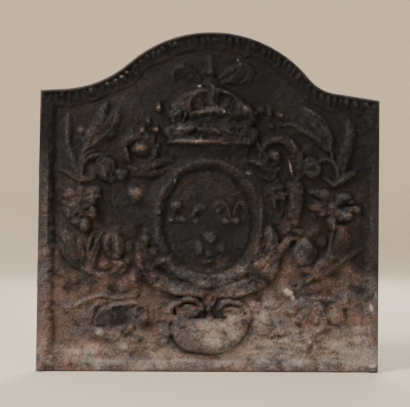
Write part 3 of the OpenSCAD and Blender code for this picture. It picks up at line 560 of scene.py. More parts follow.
# %% [markdown]
# ## The shield and its frame
# The oval field is slightly domed. Round it the frame is hollowed like a dish, from a
# high outer lip down to the field, so one side of it lies in shade and the other in
# light. It is drawn by its section, swept between two ovals.

# %% Carve the shield's frame
SHIELD_X, SHIELD_Z = -1.5, 224.0
FRAME_OUT, FRAME_IN = (84.0, 98.5), (61.5, 76.0)
SECTION_AT = [0, 0.04, 0.10, 0.22, 0.34, 0.48, 0.62, 0.80, 0.92, 1.0]
SECTION_HIGH = [7.2, 5.6, 4.0, 4.2, 6.4, 8.8, 10.2, 10.6, 9.8, 7.2]
FIELD_EDGE_MM, FIELD_RISE_MM, LILY_KEPT = 7.4, 2.0, 0.20
from_x, from_z = GX - SHIELD_X, GZ - SHIELD_Z
out_of = np.hypot(from_x / FRAME_OUT[0], from_z / FRAME_OUT[1])
in_of = np.hypot(from_x / FRAME_IN[0], from_z / FRAME_IN[1])
across = (in_of - 1) / np.maximum(in_of - out_of, 1e-6)
section = np.interp(across, SECTION_AT, SECTION_HIGH)
section *= np.where(across > 0.5, 0.9 + 0.1 * ramp(-from_z, -60, 60), 1.0)
in_frame = (in_of >= 1) & (out_of <= 1)
bank = 7.0 * (1 - np.clip((out_of - 1) / 0.20, 0, 1)) ** 1.1
around_frame = (out_of > 1) & (bank > 0.2)
relief[around_frame] = np.maximum(relief, bank)[around_frame]
relief[in_frame] = section[in_frame]
owner[in_frame] = number["shield_ring"]
in_field = in_of < 1
relief[in_field] = np.maximum(relief[in_field], 5.5)
field = np.where(in_field, FIELD_EDGE_MM + FIELD_RISE_MM * (1 - in_of**2), 0)
lily = in_field & (relief > field)
relief = np.where(in_field, field + np.where(lily, LILY_KEPT * (relief - field), 0), relief)
print("shield frame carved,", int(lily.sum()), "points of lily kept low")

# %% [markdown]
# ## The three lilies
# Worn lilies: of each only the band, the tips of the side petals and two lines of the
# middle petal still stand clear of the field.

# %% Carve the lilies
swell("fleur_de_lis_left", (-31, 256, 14, 15, 2.6), power=0.5)
cut("fleur_de_lis_left", [(-43, 258, 2.4, 1.2), (-37, 268, 2.4, 1.6), (-30, 271, 2.6, 2.4),
     (-22, 267, 2.4, 2.4), (-16, 259, 2.2, 1.4)])
swell("fleur_de_lis_left", (-50, 247, 10, 10, 4.6), power=0.5)
swell("fleur_de_lis_left", (-45, 239, 5, 6, -6), power=0.8)
cut("fleur_de_lis_left",
    [(-25, 234, 2.4, 3), (-21, 244, 3.4, 5), (-13, 251, 3.8, 5), (-5, 247, 3.2, 3.6)],
    [(-20, 242, 2, 2), (-9, 245, 2.2, 2.2)])
swell("fleur_de_lis_left", (-15, 237, 5, 4.4, -5.2), power=0.8)
swell("fleur_de_lis_left", (-57, 228, 3.8, 3.8, 4))
swell("fleur_de_lis_left", (-41, 228, 9.5, 5, 4.4, -4), (-20, 227, 5, 4.6, 4.4), power=0.5)
swell("fleur_de_lis_left", (-32, 243, 5, 8, -1.8))
swell("fleur_de_lis_right", (35, 257, 12, 14, 2.4), power=0.5)
cut("fleur_de_lis_right",
    [(7, 245, 2.6, 2.4), (12, 252, 3.2, 3.6), (20, 255, 3.2, 3.6), (28, 249, 3.2, 3.2),
     (33, 240, 2.8, 2.8), (35, 232, 2.4, 2)],
    [(40, 236, 2.4, 2), (42, 246, 3, 3.2), (47, 253, 3.2, 3.6), (54, 254, 3.2, 3.4),
     (59, 246, 2.6, 2.6), (59, 238, 2.2, 1.6)])
swell("fleur_de_lis_right", (14, 243, 4, 4, 2.4))
swell("fleur_de_lis_right", (22, 239, 5, 5.5, -4), (50, 241, 4.5, 7.5, -4, -6), power=0.8)
cut("fleur_de_lis_right",
    [(26, 259, 1.5, -1.6), (33, 246, 1.5, -2)],
    [(44, 260, 2, -3), (39, 251, 2, -3.6), (37, 242, 1.8, -3), (37, 234, 1.6, -2)])
swell("fleur_de_lis_right", (26, 228, 8.5, 5.2, 4.4), (41.5, 228.5, 7.5, 5.2, 5.2, 10), power=0.5)
swell("fleur_de_lis_bottom", (2, 204, 10.5, 10.5, 5.6), (-14, 187, 8, 9, 5), (20, 186.5, 8, 8, 5.4),
      (2, 178, 6, 6, 2.6), (-18, 179, 4, 4, 2.4), (-6, 166, 5, 3.4, 3.6), (4, 166, 5, 3.4, 3.8),
      (3, 204, 4.5, 4.5, -1.4), power=0.5)
relief = np.where(in_field, 0.7 * relief + 0.3 * soften(relief, 2.2), relief)
print("lilies carved")

# %% [markdown]
# ## Straps and husks
# Two broad bands hold the frame from below and cross under it. Their outer edges were
# cut down steeply, which leaves a dark line below them. Husks, a bud and folded leaf
# ends are crowded between band and frame.

# %% Carve straps and husks
block("strap_left", 8.6, 5, (-113, 192), (-109, 166), (-99, 148), (-85, 133), (-66, 121),
      (-44, 114), (-14, 111), (2, 117), (-6, 127), (-30, 131), (-54, 140), (-72, 153), (-86, 173),
      (-97, 197))
block("strap_right", 8.6, 5, (140, 203), (124, 194), (112, 178), (107, 160), (97, 143), (83, 129),
      (66, 119), (46, 112), (16, 111), (2, 117), (12, 128), (36, 136), (56, 145), (73, 158),
      (88, 178), (105, 194), (124, 207))
cut("strap_left",
    even((1.8, -1.3), (-106, 180), (-98, 158), (-84, 142), (-62, 130), (-36, 124), (-10, 119)),
    even((2.4, 1.4), (-100, 186), (-92, 166), (-78, 150), (-58, 137), (-30, 129)))
cut("strap_right",
    even((1.8, -1.3), (130, 200), (114, 186), (104, 166), (92, 146), (72, 131), (46, 121),
         (14, 118)),
    even((2.4, 1.4), (112, 194), (96, 172), (82, 154), (58, 138), (30, 129)))
cut("strap_left", even((4.6, -4), (-114, 186), (-111, 164), (-101, 144), (-86, 128), (-66, 116),
                       (-44, 109), (-16, 107)))
cut("strap_right", even((4.6, -4), (128, 193), (115, 176), (110, 158), (99, 139), (84, 124),
                        (66, 114), (44, 108), (16, 107)))
cut("plate", [(-84, 160, 5, -1.5), (-68, 149, 7, -2.6), (-50, 140, 5, -2), (-26, 130, 3, -1.6),
     (0, 125, 2.4, -1.6), (20, 128, 2.4, -1.4), (42, 136, 2.4, -1.2)])
lumps("husk_left", (-95, 197, 9, 10, 13, 20), (-96, 209, 6, 7, 9.5), (-85, 178, 8, 8, 12),
      (-71, 180, 7, 7, 11), (-69, 165, 9, 8.5, 12), (-105, 180, 5, 9, 9))
swell("husk_left", (-68, 162, 4.8, 4.2, -7), (-79, 188, 5, 4, -3.5))
cut("husk_left", [(-76, 158, 3, -2.5), (-68, 150, 4, -3.5), (-58, 145, 3, -2.5)])
block("husk_right", 11, 7, (83, 186), (83, 214), (90, 222), (99, 216), (105, 200), (101, 184),
      (92, 174))
cut("husk_right",
    [(91, 218, 2.4, 2), (93, 206, 3, 2.6), (89, 192, 2.6, 2)],
    [(99, 212, 2, -2.2), (98, 200, 2.2, -2.6), (101, 188, 2, -2)])
block("husk_right", 8.8, 5, (54, 146), (62, 164), (72, 180), (84, 188), (97, 176), (92, 158),
      (74, 144))
for k in range(5):
    x, z = 58 + 6.6 * k, 152 + 3.4 * k
    cut("husk_right", [(x - 3, z + 2, 1.5, -2), (x + 3, z + 10, 1.9, -2.4),
                       (x + 9, z + 18, 1.5, -1.6)],
        [(x, z, 1.6, 1.5), (x + 6.6, z + 9, 1.9, 2.4), (x + 12, z + 17, 1.6, 1.4)])
print("straps and husks carved")

# %% [markdown]
# ## Wings, volutes and collar
# Flat wings stand either side of the frame, each with its small leaf. Over them the
# frame's upper corners curl into volutes with round eyes. All of it is worn soft.

# %% Carve wings and volutes
worn({"wing_left": 0.55, "wing_right": 0.8, "volute_left": 0.75, "volute_right": 0.75})
lay("collar_leaf_left",
    [(-52, 316, 6, 5), (-66, 316, 7, 6), (-80, 313, 7.5, 7), (-93, 309, 7, 7), (-106, 304, 6, 6),
     (-118, 306, 5, 5)],
    [(-60, 303, 4, 3), (-76, 300, 6, 4.6), (-94, 296, 6, 5), (-108, 296, 5, 4.5)])
swell("collar_leaf_left", *even((4, 3.4, 2.6), (-110, 303), (-102, 298), (-95, 303), (-90, 296),
      (-114, 296), (-84, 301)))
lay("collar_leaf_right", [(50, 315, 6, 5), (62, 317, 6.5, 6), (74, 313, 7.5, 7.5), (85, 306, 7, 7),
     (97, 302, 6, 6), (106, 306, 4.6, 4.5)])
cut("collar_leaf_right", [(52, 297, 2.6, 3), (60, 302, 2.8, 3.4), (64, 306, 2.2, 2)])
lay("collar_leaf_right", [(72, 296, 4, 5), (88, 292, 4.5, 6), (102, 294, 4, 5)])
block("wing_leaf_left", 10, 10, (-121, 276), (-110, 280), (-100, 277), (-98, 266), (-104, 254),
      (-112, 248), (-119, 256), (-123, 266))
swell("wing_leaf_left", (-114, 270, 6, 6, 1.8))
cut("wing_left",
    [(-144, 287, 2.4, 2), (-143.5, 255, 2.4, 2), (-138, 230, 2.4, 1.6)],
    [(-147.5, 285, 2, -1.2), (-147, 255, 2, -1.2), (-142, 228, 2, -1)])
cut("shield_ring", [(62, 300, 1.6, 1.2), (74, 285, 1.8, 2), (79, 262, 1.8, 2.2),
     (80, 240, 1.8, 2.2), (77, 213, 1.6, 1.6)])
swell("shield_ring", *((-75.5, z, r, r + 1, 2.4)
                       for z, r in ((252, 3.2), (240, 4.4), (235, 3.6), (228, 3.2))))
block("wing_right", 8, 6, (121, 290), (143, 287), (145, 262), (140, 240), (133, 221), (123, 225),
      (120, 250))
cut("wing_right",
    [(117, 288, 2.6, -3), (117, 262, 3, -4), (114, 244, 3, -4), (110, 232, 2.4, -2.4)],
    [(149, 286, 2.4, -1.6), (149, 262, 2.4, -1.8), (144, 240, 2.4, -1.6), (138, 218, 2.4, -1.4)])
lumps("wing_leaf_right", (108, 281, 10, 6, 8, 30), (113, 269, 9, 5, 8), (96, 272, 8, 5, 7, -10),
      (123, 236, 8, 6, 9, 20), (104, 289, 7, 5, 7), (98, 258, 7, 6, 6, 20), (92, 240, 5, 9, 5))
swell("wing_leaf_right", (106, 252, 8, 10, -3.5))
lay("volute_left", [(-130, 320, 7, 3), (-131, 334, 8, 4.5), (-124, 346, 10, 6),
     (-111, 352, 11, 6.5), (-97, 351, 10, 6.5), (-87, 343, 9, 6), (-82, 331, 8, 5),
     (-88, 319, 7, 4.5), (-101, 314, 6, 4)])
lumps("volute_left", (-104, 335, 15, 12, 10.5, 10), power=0.8)
swell("volute_left", (-101, 337, 7, 4.5, 1.8, 10))
lay("volute_left", [(-126, 334, 4, 11), (-124, 325, 4.2, 12), (-122, 316, 3.4, 9.5)])
cut("volute_left",
    [(-114, 324, 2.6, -3), (-101, 319.5, 3, -4.5), (-89, 326, 2.6, -3.5)],
    [(-118, 336, 1.8, -2), (-110, 346, 2, -2.2), (-97, 347, 1.8, -1.8)])
lumps("volute_left", *even((6, 5, 6.5), (-120, 350), (-108, 356), (-96, 357), (-84, 350),
      (-78, 338)))
lay("volute_right", [(84, 318, 5, 5), (82, 333, 7, 6.5), (89, 345, 8.5, 7.5), (104, 350, 9, 8),
     (118, 347, 9, 8), (129, 338, 9, 8), (136, 325, 9, 7.5), (137, 308, 9, 6.5), (134, 294, 8, 5)])
lumps("volute_right", (98, 326, 11, 11, 11), power=0.8)
swell("volute_right", (96, 322, 3, 3, 1.5), (101, 329, 3, 3, 1.5))
cut("volute_right",
    [(86, 333, 2, -3), (92, 341, 2.2, -3.4), (103, 343, 3, -4.5), (111, 335, 3.6, -5.5),
     (112, 322, 3.4, -4.5)],
    [(112, 350, 1.6, -1.6), (124, 340, 1.8, -2), (131, 326, 1.8, -2), (132, 308, 1.6, -1.6)])
lay("volute_right", [(118, 323, 2.2, 10), (122, 311, 2.4, 11), (125.5, 297, 2.2, 9.5)])
cut("volute_right", even((1.8, -2.4), (129, 322), (130.5, 300)))
lay("volute_right", [(72, 352, 4.5, 5), (75, 341, 5.5, 7.5), (80, 330, 5, 7), (75, 321, 4.5, 6)])
print("wings and volutes carved")

# %% [markdown]
# ## Sprays of leaves, buds and flowers
# Each side carries a growing stem: a long blade and a broad leaf above, a nodding bud,
# an open flower of heavy lobes, and below it more leaves and a low bud. A leaf is one
# swelling body swept along its middle, with a few veins cut beside it.

# %% A leaf with veins
def leaf(node, veins, *spine, cut_by=1.3, power=0.8):
    """Sweeps a leaf's body along its spine and cuts veins at shares of its half width."""
    lay(node, spine, power=power)
    chain = flowing(spine)
    way = np.gradient(chain[:, :2], axis=0)
    way /= np.maximum(np.linalg.norm(way, axis=1, keepdims=True), 1e-6)
    for share in veins:
        vein = chain.copy()
        vein[:, 0] -= way[:, 1] * chain[:, 2] * share
        vein[:, 1] += way[:, 0] * chain[:, 2] * share
        vein[:, 2] = 1.25
        vein[:, 3] = -cut_by * np.sin(np.linspace(0.35, 2.8, len(vein)))
        cut(node, vein[::3])
leaf("spray_left", (-0.5, 0.45), (-212, 386, 3, 3), (-213, 372, 6.5, 6), (-212, 350, 7, 7),
     (-208, 328, 5, 6.5), (-204, 308, 2.5, 4))
leaf("spray_left", (-0.7, -0.2, 0.3), (-185, 334, 5, 7.5), (-177, 350, 9, 8), (-168, 368, 11, 7.5),
     (-160, 386, 9, 6.5), (-153, 401, 3.5, 4))
leaf("spray_left", (-0.4, 0.4), (-184, 333, 3, 5), (-170, 345, 5, 8), (-157, 355, 6, 7.5),
     (-146, 366, 7, 6.5), (-139, 381, 7, 6), (-137, 392, 4, 4))
cut("spray_left", [(-158, 390, 2.2, -2.6), (-150, 384, 2, -2.6), (-147, 396, 1.6, -2)])
lay("spray_left",
    [(-190, 333, 4, 6.5), (-189, 318, 4.2, 7), (-191, 304, 4, 6.5), (-193, 288, 3.6, 6)],
    [(-190, 308, 3, 5), (-181, 318, 4, 8), (-168, 325, 4.2, 8), (-152, 327, 3.4, 5)])
lumps("spray_left", (-190, 362, 7, 7.5, 4.5))
leaf("spray_left", (0,), (-224, 302, 3, 3.5), (-212, 298, 4, 6), (-203, 291, 4, 6),
     (-194, 285, 3.4, 6))
leaf("spray_left", (0,), (-192, 294, 3.6, 6), (-183, 289, 4.4, 6.5), (-173, 291, 3.4, 4))
block("bud_left", 8.5, 8, (-168, 296), (-168, 312), (-158, 322), (-146, 319), (-141, 304),
      (-147, 289), (-160, 285))
cut("bud_left",
    [(-164, 310, 2.8, 1.6), (-156, 317, 3.6, 2.4), (-147, 314, 2.8, 1.6)],
    [(-159, 306, 2.8, 2), (-156, 297, 3.4, 3.5), (-155, 289, 2.6, 2)],
    [(-148, 315, 2, -2.6), (-146.5, 303, 2.6, -4.4), (-151, 292, 2, -3)],
    even((2, -2), (-166, 305), (-163, 293)))
block("bud_left", 8.5, 7, (-142, 302), (-131, 305), (-121, 301), (-122, 291), (-132, 286),
      (-140, 292))
lumps("bud_left", (-146, 286, 8, 5, 7.5, 20))
leaf("spray_right", (-0.6, -0.1, 0.5), (182, 336, 5, 7), (178, 356, 9, 7.5), (169, 375, 10, 7),
     (158, 389, 7.5, 6), (145, 398, 3.5, 3.5))
leaf("spray_right", (-0.3, 0.5), (178, 334, 4, 6.5), (164, 350, 5.5, 7), (150, 365, 5, 5.5),
     (142, 378, 4, 4))
for k in range(5):
    cut("spray_right", [(151 + 5 * k, 394 - 3.6 * k, 1.4, -2.4),
                        (156 + 5 * k, 387 - 4 * k, 1.5, -2.6)])
leaf("spray_right", (0.1,), (112, 373, 3, 4), (126, 374, 4, 6.5), (140, 370, 4.4, 7.5),
     (156, 360, 4.4, 7.5), (170, 347, 4, 7.5))
leaf("spray_right", (-0.55, 0.5), (213, 376, 5, 4), (212, 362, 9, 7.5), (209, 340, 9, 8),
     (206, 320, 7, 7.5), (204, 299, 3.5, 5), cut_by=1.2, power=0.6)
lay("spray_right", [(164, 317, 3.4, 6), (178, 320, 4, 7.5), (190, 314, 4, 7.5),
     (195, 303, 3.8, 7.5), (195, 288, 3.4, 7)])
leaf("spray_right", (-0.2, 0.5), (188, 281, 4.6, 7), (201, 290, 6, 8), (213, 299, 5.5, 7),
     (226, 309, 3, 3.5))
leaf("spray_right", (0,), (172, 294, 3.4, 5), (182, 287, 4.6, 7), (193, 280, 4, 7))
block("bud_right", 8.5, 8, (141, 300), (142, 316), (153, 324), (167, 319), (170, 306), (162, 294),
      (150, 292))
cut("bud_right",
    [(146, 310, 3, 1.8), (156, 315, 3.8, 2.4), (165, 311, 2.8, 1.8)],
    [(149, 303, 2.2, -2.2), (156, 306, 2.4, -2.6), (163, 303, 2, -2)])
lumps("spray_right", (150, 336, 10, 8, 3.5), (128, 362, 9, 6, 3), (190, 335, 8, 8, 3),
      (232, 330, 8, 20, 1.5))
lumps("spray_left", (-160, 340, 12, 8, 3), (-220, 330, 10, 16, 1.8), (-175, 300, 8, 10, 3))
print("upper sprays carved")

# %% Carve the flowers
FLOWERS = (
    ("flower_left", (-190, 249), (-176, 270, 15, 9, 13, 20), (-179, 259, 13, 8, 13.5, 8),
     (-203, 265, 14, 8, 10, -25), (-208, 252, 13, 7.5, 10.5), (-207, 238, 11, 8, 10, 25),
     (-199, 226, 8, 10, 10, 30), (-186, 221, 9, 12, 13), (-177, 238, 10, 10, 13),
     (-191, 236, 8, 8, 12), (-167, 264, 7, 6, 10), (-214, 262, 7, 5, 7, -20)),
    ("flower_right", (187, 247), (176, 267, 12, 11, 14), (161, 270, 10, 6, 9, 10),
     (162, 248, 11, 7, 10.5, 10), (203, 265, 14, 7.5, 12.5, -5), (222, 247, 10, 6, 9, -15),
     (205, 237, 12, 8, 12, -15), (185, 226, 9, 13, 13), (187, 250, 11, 8.5, 13),
     (172, 240, 9, 7, 10), (195, 244, 8, 7, 12), (214, 256, 8, 5, 9), (197, 224, 6, 7, 8)))
for node, (cx, cz), *petals in FLOWERS:
    lumps(node, *petals, power=0.6)
    for x, z, rx, rz, *_ in petals:
        ex, ez = x - cx, z - cz
        length = max(math.hypot(ex, ez), 1)
        sx, sz = -ez / length * min(rx, rz), ex / length * min(rx, rz)
        cut(node, [(cx + ex * 0.4, cz + ez * 0.4, 1.5, -1.6), (x, z, 1.6, -2),
                   (cx + ex * 1.35, cz + ez * 1.35, 1.3, -1.4)],
            [(cx + ex * 0.6 + sx, cz + ez * 0.6 + sz, 1.8, -2.8),
             (x + sx * 1.05, z + sz * 1.05, 2, -3.2)])
swell("flower_left", (-177, 239, 4.5, 4.5, -3.5))
cut("flower_left",
    [(-189, 244, 2.2, 2.6), (-180, 248, 2.4, 2.8), (-171, 243, 2.2, 2.6), (-169, 236, 2, 2),
     (-176, 229, 2.2, 2.2)],
    [(-165, 258, 3.6, -5), (-165, 248, 4, -6), (-163, 236, 4, -5), (-172, 224, 4, -6),
     (-178, 212, 4, -4)])
cut("flower_right", [(156, 261, 2.6, -5), (166, 259, 2.8, -5), (172, 256, 2.2, -3)])
swell("flower_right", (168, 229, 8, 7, -7, 20), (201, 226, 7, 6, -5), power=0.6)
cut("flower_right",
    [(197, 254, 2.6, -4), (206, 251, 3, -6.5), (216, 252, 2.2, -4)],
    [(162, 237, 3.4, -6), (168, 230, 4.2, -8), (175, 226, 3, -5)],
    [(197, 228, 3, -5), (206, 226, 3.6, -6), (218, 234, 3, -4)])
print("flowers carved")

# %% Carve the low sprays
leaf("low_spray_left", (-0.75, -0.35, 0.1, 0.5), (-215, 212, 6, 4), (-213, 196, 11, 7),
     (-205, 176, 11, 7.5), (-193, 160, 8, 6.5), (-180, 148, 3, 4), cut_by=1.8, power=0.6)
lay("low_spray_left",
    [(-229, 196, 2.4, 3), (-217, 175, 2.8, 6), (-203, 160, 2.8, 6), (-184, 148, 2.4, 4)],
    [(-174, 208, 2.6, 4), (-178, 194, 3.4, 6.5), (-180, 178, 3.4, 6.5), (-180, 160, 3, 5)],
    [(-160, 208, 2.6, 4), (-167, 196, 3.4, 6.5), (-172, 182, 3.4, 6.5), (-178, 164, 3, 5)],
    [(-182, 152, 4, 5), (-166, 146, 4.4, 5), (-150, 148, 4, 3.5)])
block("low_bud_left", 8, 8, (-160, 202), (-148, 209), (-132, 206), (-126, 191), (-130, 174),
      (-144, 168), (-158, 180))
cut("low_bud_left",
    [(-153, 204, 3, 1.6), (-154, 192, 3.8, 3.2), (-152, 180, 3, 2.2)],
    [(-136, 203, 3, 2), (-135, 190, 4.2, 3.8), (-138, 178, 3.4, 2.8)],
    [(-145, 206, 2.2, -3), (-145, 190, 2.6, -4.5), (-147, 176, 2.2, -3)],
    [(-156, 171, 3, -3.5), (-144, 167, 3.6, -4.5), (-130, 168, 3, -3.5)])
lumps("low_bud_left", (-156, 160, 9, 7, 7, 20), (-132, 160, 8, 9, 8, -20), (-108, 139, 12, 14, 7),
      (-120, 188, 6, 9, 5), (-144, 150, 8, 6, 4.5), (-118, 210, 12, 10, 4), (-122, 166, 6, 7, 5))
cut("low_bud_left", [(-122, 152, 2.4, -2.6), (-134, 147, 2.6, -3), (-146, 144, 2.2, -2)])
leaf("low_spray_right", (-0.75, -0.3, 0.15, 0.55), (203, 215, 9, 4.5), (203, 198, 14, 7),
     (194, 178, 11, 7), (181, 162, 7, 6), (168, 149, 3, 4), cut_by=1.6, power=0.6)
lay("low_spray_right", [(187, 210, 2.6, 4), (183, 190, 3.2, 7.5), (176, 170, 3.2, 7.5),
     (166, 154, 2.6, 5)])
leaf("low_spray_right", (-0.35, 0.35), (172, 148, 5, 5), (188, 155, 8, 6), (204, 166, 8.5, 6),
     (219, 178, 6.5, 5), (234, 187, 2.5, 2.5), cut_by=1.4)
cut("low_spray_right", [(230, 181, 3, -1.6), (210, 165, 3, -2.2), (194, 153, 3, -2.2),
     (180, 145, 2.6, -1.6)])
lay("low_spray_right", [(170, 150, 4, 6.5), (156, 143, 4, 6), (144, 134, 3.6, 5), (134, 127, 3, 3)])
block("low_bud_right", 7.5, 9, (127, 182), (131, 197), (146, 203), (161, 195), (165, 178),
      (157, 163), (141, 160), (130, 169))
swell("low_bud_right", (143, 182, 8.5, 9.5, -5), (143, 182, 5.5, 6.5, 3.6))
cut("low_bud_right",
    [(151, 166, 2.2, -3), (159, 176, 2.4, -3), (159, 188, 2.2, -2)],
    [(132, 196, 2.6, -2.6), (126, 186, 2.6, -3), (128, 172, 2.6, -2.6)])
lumps("low_bud_right", (158, 212, 12, 7, 5, 20), (118, 216, 12, 10, 5), (172, 198, 8, 10, 5.5),
      (135, 212, 9, 6, 5, -10), (124, 152, 12, 10, 3.5), (150, 152, 9, 7, 4))
print("low sprays carved")

# %% [markdown]
# ## The foot
# Below, a smooth shell hangs between two inward curls, with a knob at its hinge. Worn
# leaf scrolls fill the corners: a mass of leaf on the left round a dark hollow, and a
# curl with a heavy knob on the right.

# %% Carve the shell
block("shell", 11.4, 13, (-57, 84), (-56, 62), (-48, 44), (-32, 33), (0, 27), (26, 30), (44, 40),
      (56, 58), (59, 80), (44, 88), (20, 80), (0, 84), (-22, 78), (-40, 84))
SHELL_MM = 12.0
shell_body = (owner == number["shell"]) & (abs(GX) <= 60) & (GZ >= 28) & (GZ < 84)
relief[shell_body] = np.minimum(relief[shell_body], SHELL_MM)
for degrees, wide in ((205, 2.6), (232, 3), (258, 3.2), (284, 3.2), (310, 3), (334, 2.6)):
    c, s = math.cos(math.radians(degrees)), math.sin(math.radians(degrees))
    cut("shell", [(2 + 14 * c, 82 + 12 * s, 1.6, -0.5), (2 + 34 * c, 82 + 32 * s, wide, -1.1),
                  (2 + 52 * c, 82 + 50 * s, wide + 1, -0.8)])
swell("shell", (34, 79, 10, 8, 2.2, 20), (-11, 65, 7, 12, 1.8, -10))
lay("shell_volute_left", [(-58, 78, 5, 9.5), (-58, 92, 5.5, 10.5), (-50, 102, 6, 11.5),
     (-36, 107, 6, 12), (-23, 106, 5.5, 11.5), (-13, 99, 5, 11), (-10, 89, 4, 9)])
block("shell_volute_left", 6, 6, (-50, 84), (-47, 98), (-33, 102), (-19, 99), (-14, 89), (-22, 80),
      (-38, 80))
lumps("shell_volute_left", (-29, 92, 11, 8, 10, -20))
cut("shell_volute_left",
    [(-45, 96, 2, -3.5), (-34, 101, 2.2, -4.5), (-22, 98, 2, -3.5)],
    [(-26, 82, 3, -3), (-15, 84, 3.6, -4), (-8, 90, 3.2, -4)])
lay("shell_volute_right", [(60, 76, 4.5, 10), (58, 92, 5, 10.5), (48, 102, 5.2, 11),
     (34, 106, 5.4, 11.5), (22, 103, 5, 11), (15, 94, 4, 9)])
block("shell_volute_right", 6, 6, (52, 84), (50, 96), (36, 102), (22, 98), (18, 88), (28, 82),
      (40, 84))
cut("shell_volute_right",
    [(46, 97, 2, -3.5), (33, 101, 2.2, -4.5), (23, 97, 2, -3.5)],
    [(12, 86, 3.8, -4), (22, 88, 3.8, -4), (32, 92, 3, -3)],
    [(38, 96, 3, 2.6), (46, 90, 3, 2.6), (48, 84, 2.6, 1.6)])
lumps("shell_knob", (2, 83, 6.5, 6, 12.5))
swell("shell_knob", (2, 84, 3, 2.8, -3.5))
lay("shell_knob", *([(x * 1.1, 116, 2.6, 7), (x * 0.9 + 1, 107, 2.4, 6.5), (x * 0.5 + 1, 99, 2, 5)]
                    for x in (-9, -3, 3, 9)))
cut("plate", even((5, -1.2), (-8, 92), (8, 92)))
print("shell carved")

# %% Carve the scrolls
worn({"scroll_left": 0.6, "scroll_right": 0.6})
block("scroll_left", 5, 18, (-168, 50), (-160, 66), (-140, 68), (-120, 76), (-98, 88), (-78, 98),
      (-58, 92), (-52, 62), (-60, 44), (-84, 34), (-116, 28), (-146, 34))
lay("scroll_left",
    [(-199, 98, 3, 4), (-188, 106, 4.2, 7.5), (-172, 111, 4.6, 8), (-152, 113, 4.4, 7.5),
     (-130, 112, 4, 6), (-110, 113, 3, 4)],
    [(-152, 90, 2.8, 7), (-143, 97, 3.6, 8.5), (-128, 101, 4.2, 9), (-112, 103, 4.6, 8.5),
     (-98, 98, 4.4, 8), (-86, 90, 3.6, 6.5)],
    [(-150, 106, 4, 5), (-164, 100, 5, 5.5), (-174, 90, 5.5, 6), (-177, 76, 6, 5), (-175, 62, 6, 4),
     (-166, 50, 6, 3)])
cut("scroll_left", [(-150, 100, 2.4, -3), (-163, 94, 2.4, -3.5), (-169, 84, 2.4, -4),
     (-170, 70, 2.2, -3.5)])
swell("scroll_left", (-139, 81, 27, 14, -5.5, 5), power=0.9)
swell("scroll_left", (-146, 80, 12, 7, 1.8, 5))
lumps("scroll_left", (-161, 60, 9, 9, 12), (-131, 65, 11, 6, 9, 10), (-114, 68, 9, 8, 9),
      (-125, 38, 11, 6, 8), (-71, 62, 12, 8, 9, 10), (-68, 80, 11, 7, 9, -10), (-95, 80, 13, 8, 8),
      (-108, 90, 11, 6, 8.5, -10), (-96, 56, 12, 9, 8), (-86, 40, 12, 7, 6), (-143, 54, 9, 6, 7.5),
      (-188, 84, 10, 9, 3.5), (-192, 62, 9, 11, 3.5), (-112, 50, 8, 6, 7.5), (-205, 50, 12, 9, 2.5),
      (-100, 118, 16, 6, 3), (-210, 95, 9, 8, 3))
cut("scroll_left", *([(x - 1, 78, 1.4, -1.6), (x, 88, 1.6, -3.2), (x + 1, 98, 1.4, -2)]
                     for x in (-90, -85.5, -81, -76.5, -72)))
cut("scroll_left",
    [(-170, 68, 2.2, -2.5), (-162, 69, 2.8, -5), (-152, 67, 2.2, -3)],
    [(-178, 58, 1.8, -2.2), (-180, 75, 2, -2.8), (-175, 88, 2, -2.8), (-166, 95, 1.8, -2)])
swell("scroll_left", (-141, 94, 4.4, 3.4, -5), (-132, 98, 4.4, 3.4, -5), (-123, 93, 4.4, 3.4, -5),
      (-113, 98, 4.4, 3.4, -5), (-104, 92, 4.4, 3.4, -5), (-88, 64, 14, 9, -4))
cut("scroll_left",
    [(-136, 91, 2.4, -3), (-124, 94, 2.4, -5), (-114, 97, 2.2, -3)],
    [(-152, 46, 2.6, -3.5), (-140, 40, 2.4, -3)])
lay("scroll_right",
    [(126, 100, 4, 3.5), (142, 109, 5.4, 5), (162, 113, 6, 5.5), (182, 111, 5.6, 5),
     (198, 105, 5, 4.5), (212, 99, 4, 3)],
    [(158, 107, 4, 4), (169, 101, 5.4, 6), (176, 91, 5.6, 6.5), (176, 78, 5.4, 6),
     (169, 64, 5, 4.5), (154, 56, 5, 3.5), (136, 53, 4, 2.5)])
block("scroll_right", 8.5, 12, (178, 86), (181, 98), (192, 103), (203, 99), (206, 86), (200, 76),
      (190, 73), (181, 77))
cut("scroll_right", [(180, 80, 2.4, -2.5), (188, 73, 3, -4), (198, 73, 3, -4),
     (206, 80, 2.4, -2.5)])
lay("scroll_right", [(203, 96, 3.4, 3.5), (207, 106, 4, 4), (208, 118, 3.6, 3)])
lumps("scroll_right", (163, 86, 8, 13, 6.5), (122, 94, 13, 9, 5.5), (110, 60, 15, 9, 5.5, 10),
      (88, 84, 12, 10, 5), (82, 62, 13, 10, 5), (155, 44, 10, 8, 5.5), (114, 46, 16, 6, 5.5, -5),
      (196, 58, 13, 10, 3.5), (74, 98, 12, 10, 4.5), (140, 78, 11, 10, 4.5), (96, 102, 11, 7, 5),
      (132, 64, 11, 7, 4.5), (104, 78, 9, 8, 4.5), (150, 92, 8, 7, 5.5), (220, 100, 8, 12, 2),
      (68, 40, 12, 7, 3.5), (178, 40, 10, 7, 3), (120, 124, 12, 8, 4, 10), (160, 128, 14, 7, 3))
cut("scroll_right",
    even((2, -2.2), (96, 90), (108, 84), (112, 70)),
    even((2, -2.2), (72, 84), (84, 72), (98, 70)),
    even((2, -2.2), (126, 82), (132, 72), (146, 68)),
    even((2, -2.2), (146, 100), (152, 86), (150, 74)))
chance = np.random.default_rng(8)
for node, x_span, z_span, count, swing in (("scroll_left", (-168, -56), (28, 98), 60, 2.6),
                                           ("scroll_right", (62, 222), (28, 112), 80, 1.9)):
    for _ in range(count):
        swell(node, draws(x_span, z_span, (4, 10), (3.5, 7), (-swing, swing * 1.1), (-40, 40)),
              power=0.8)
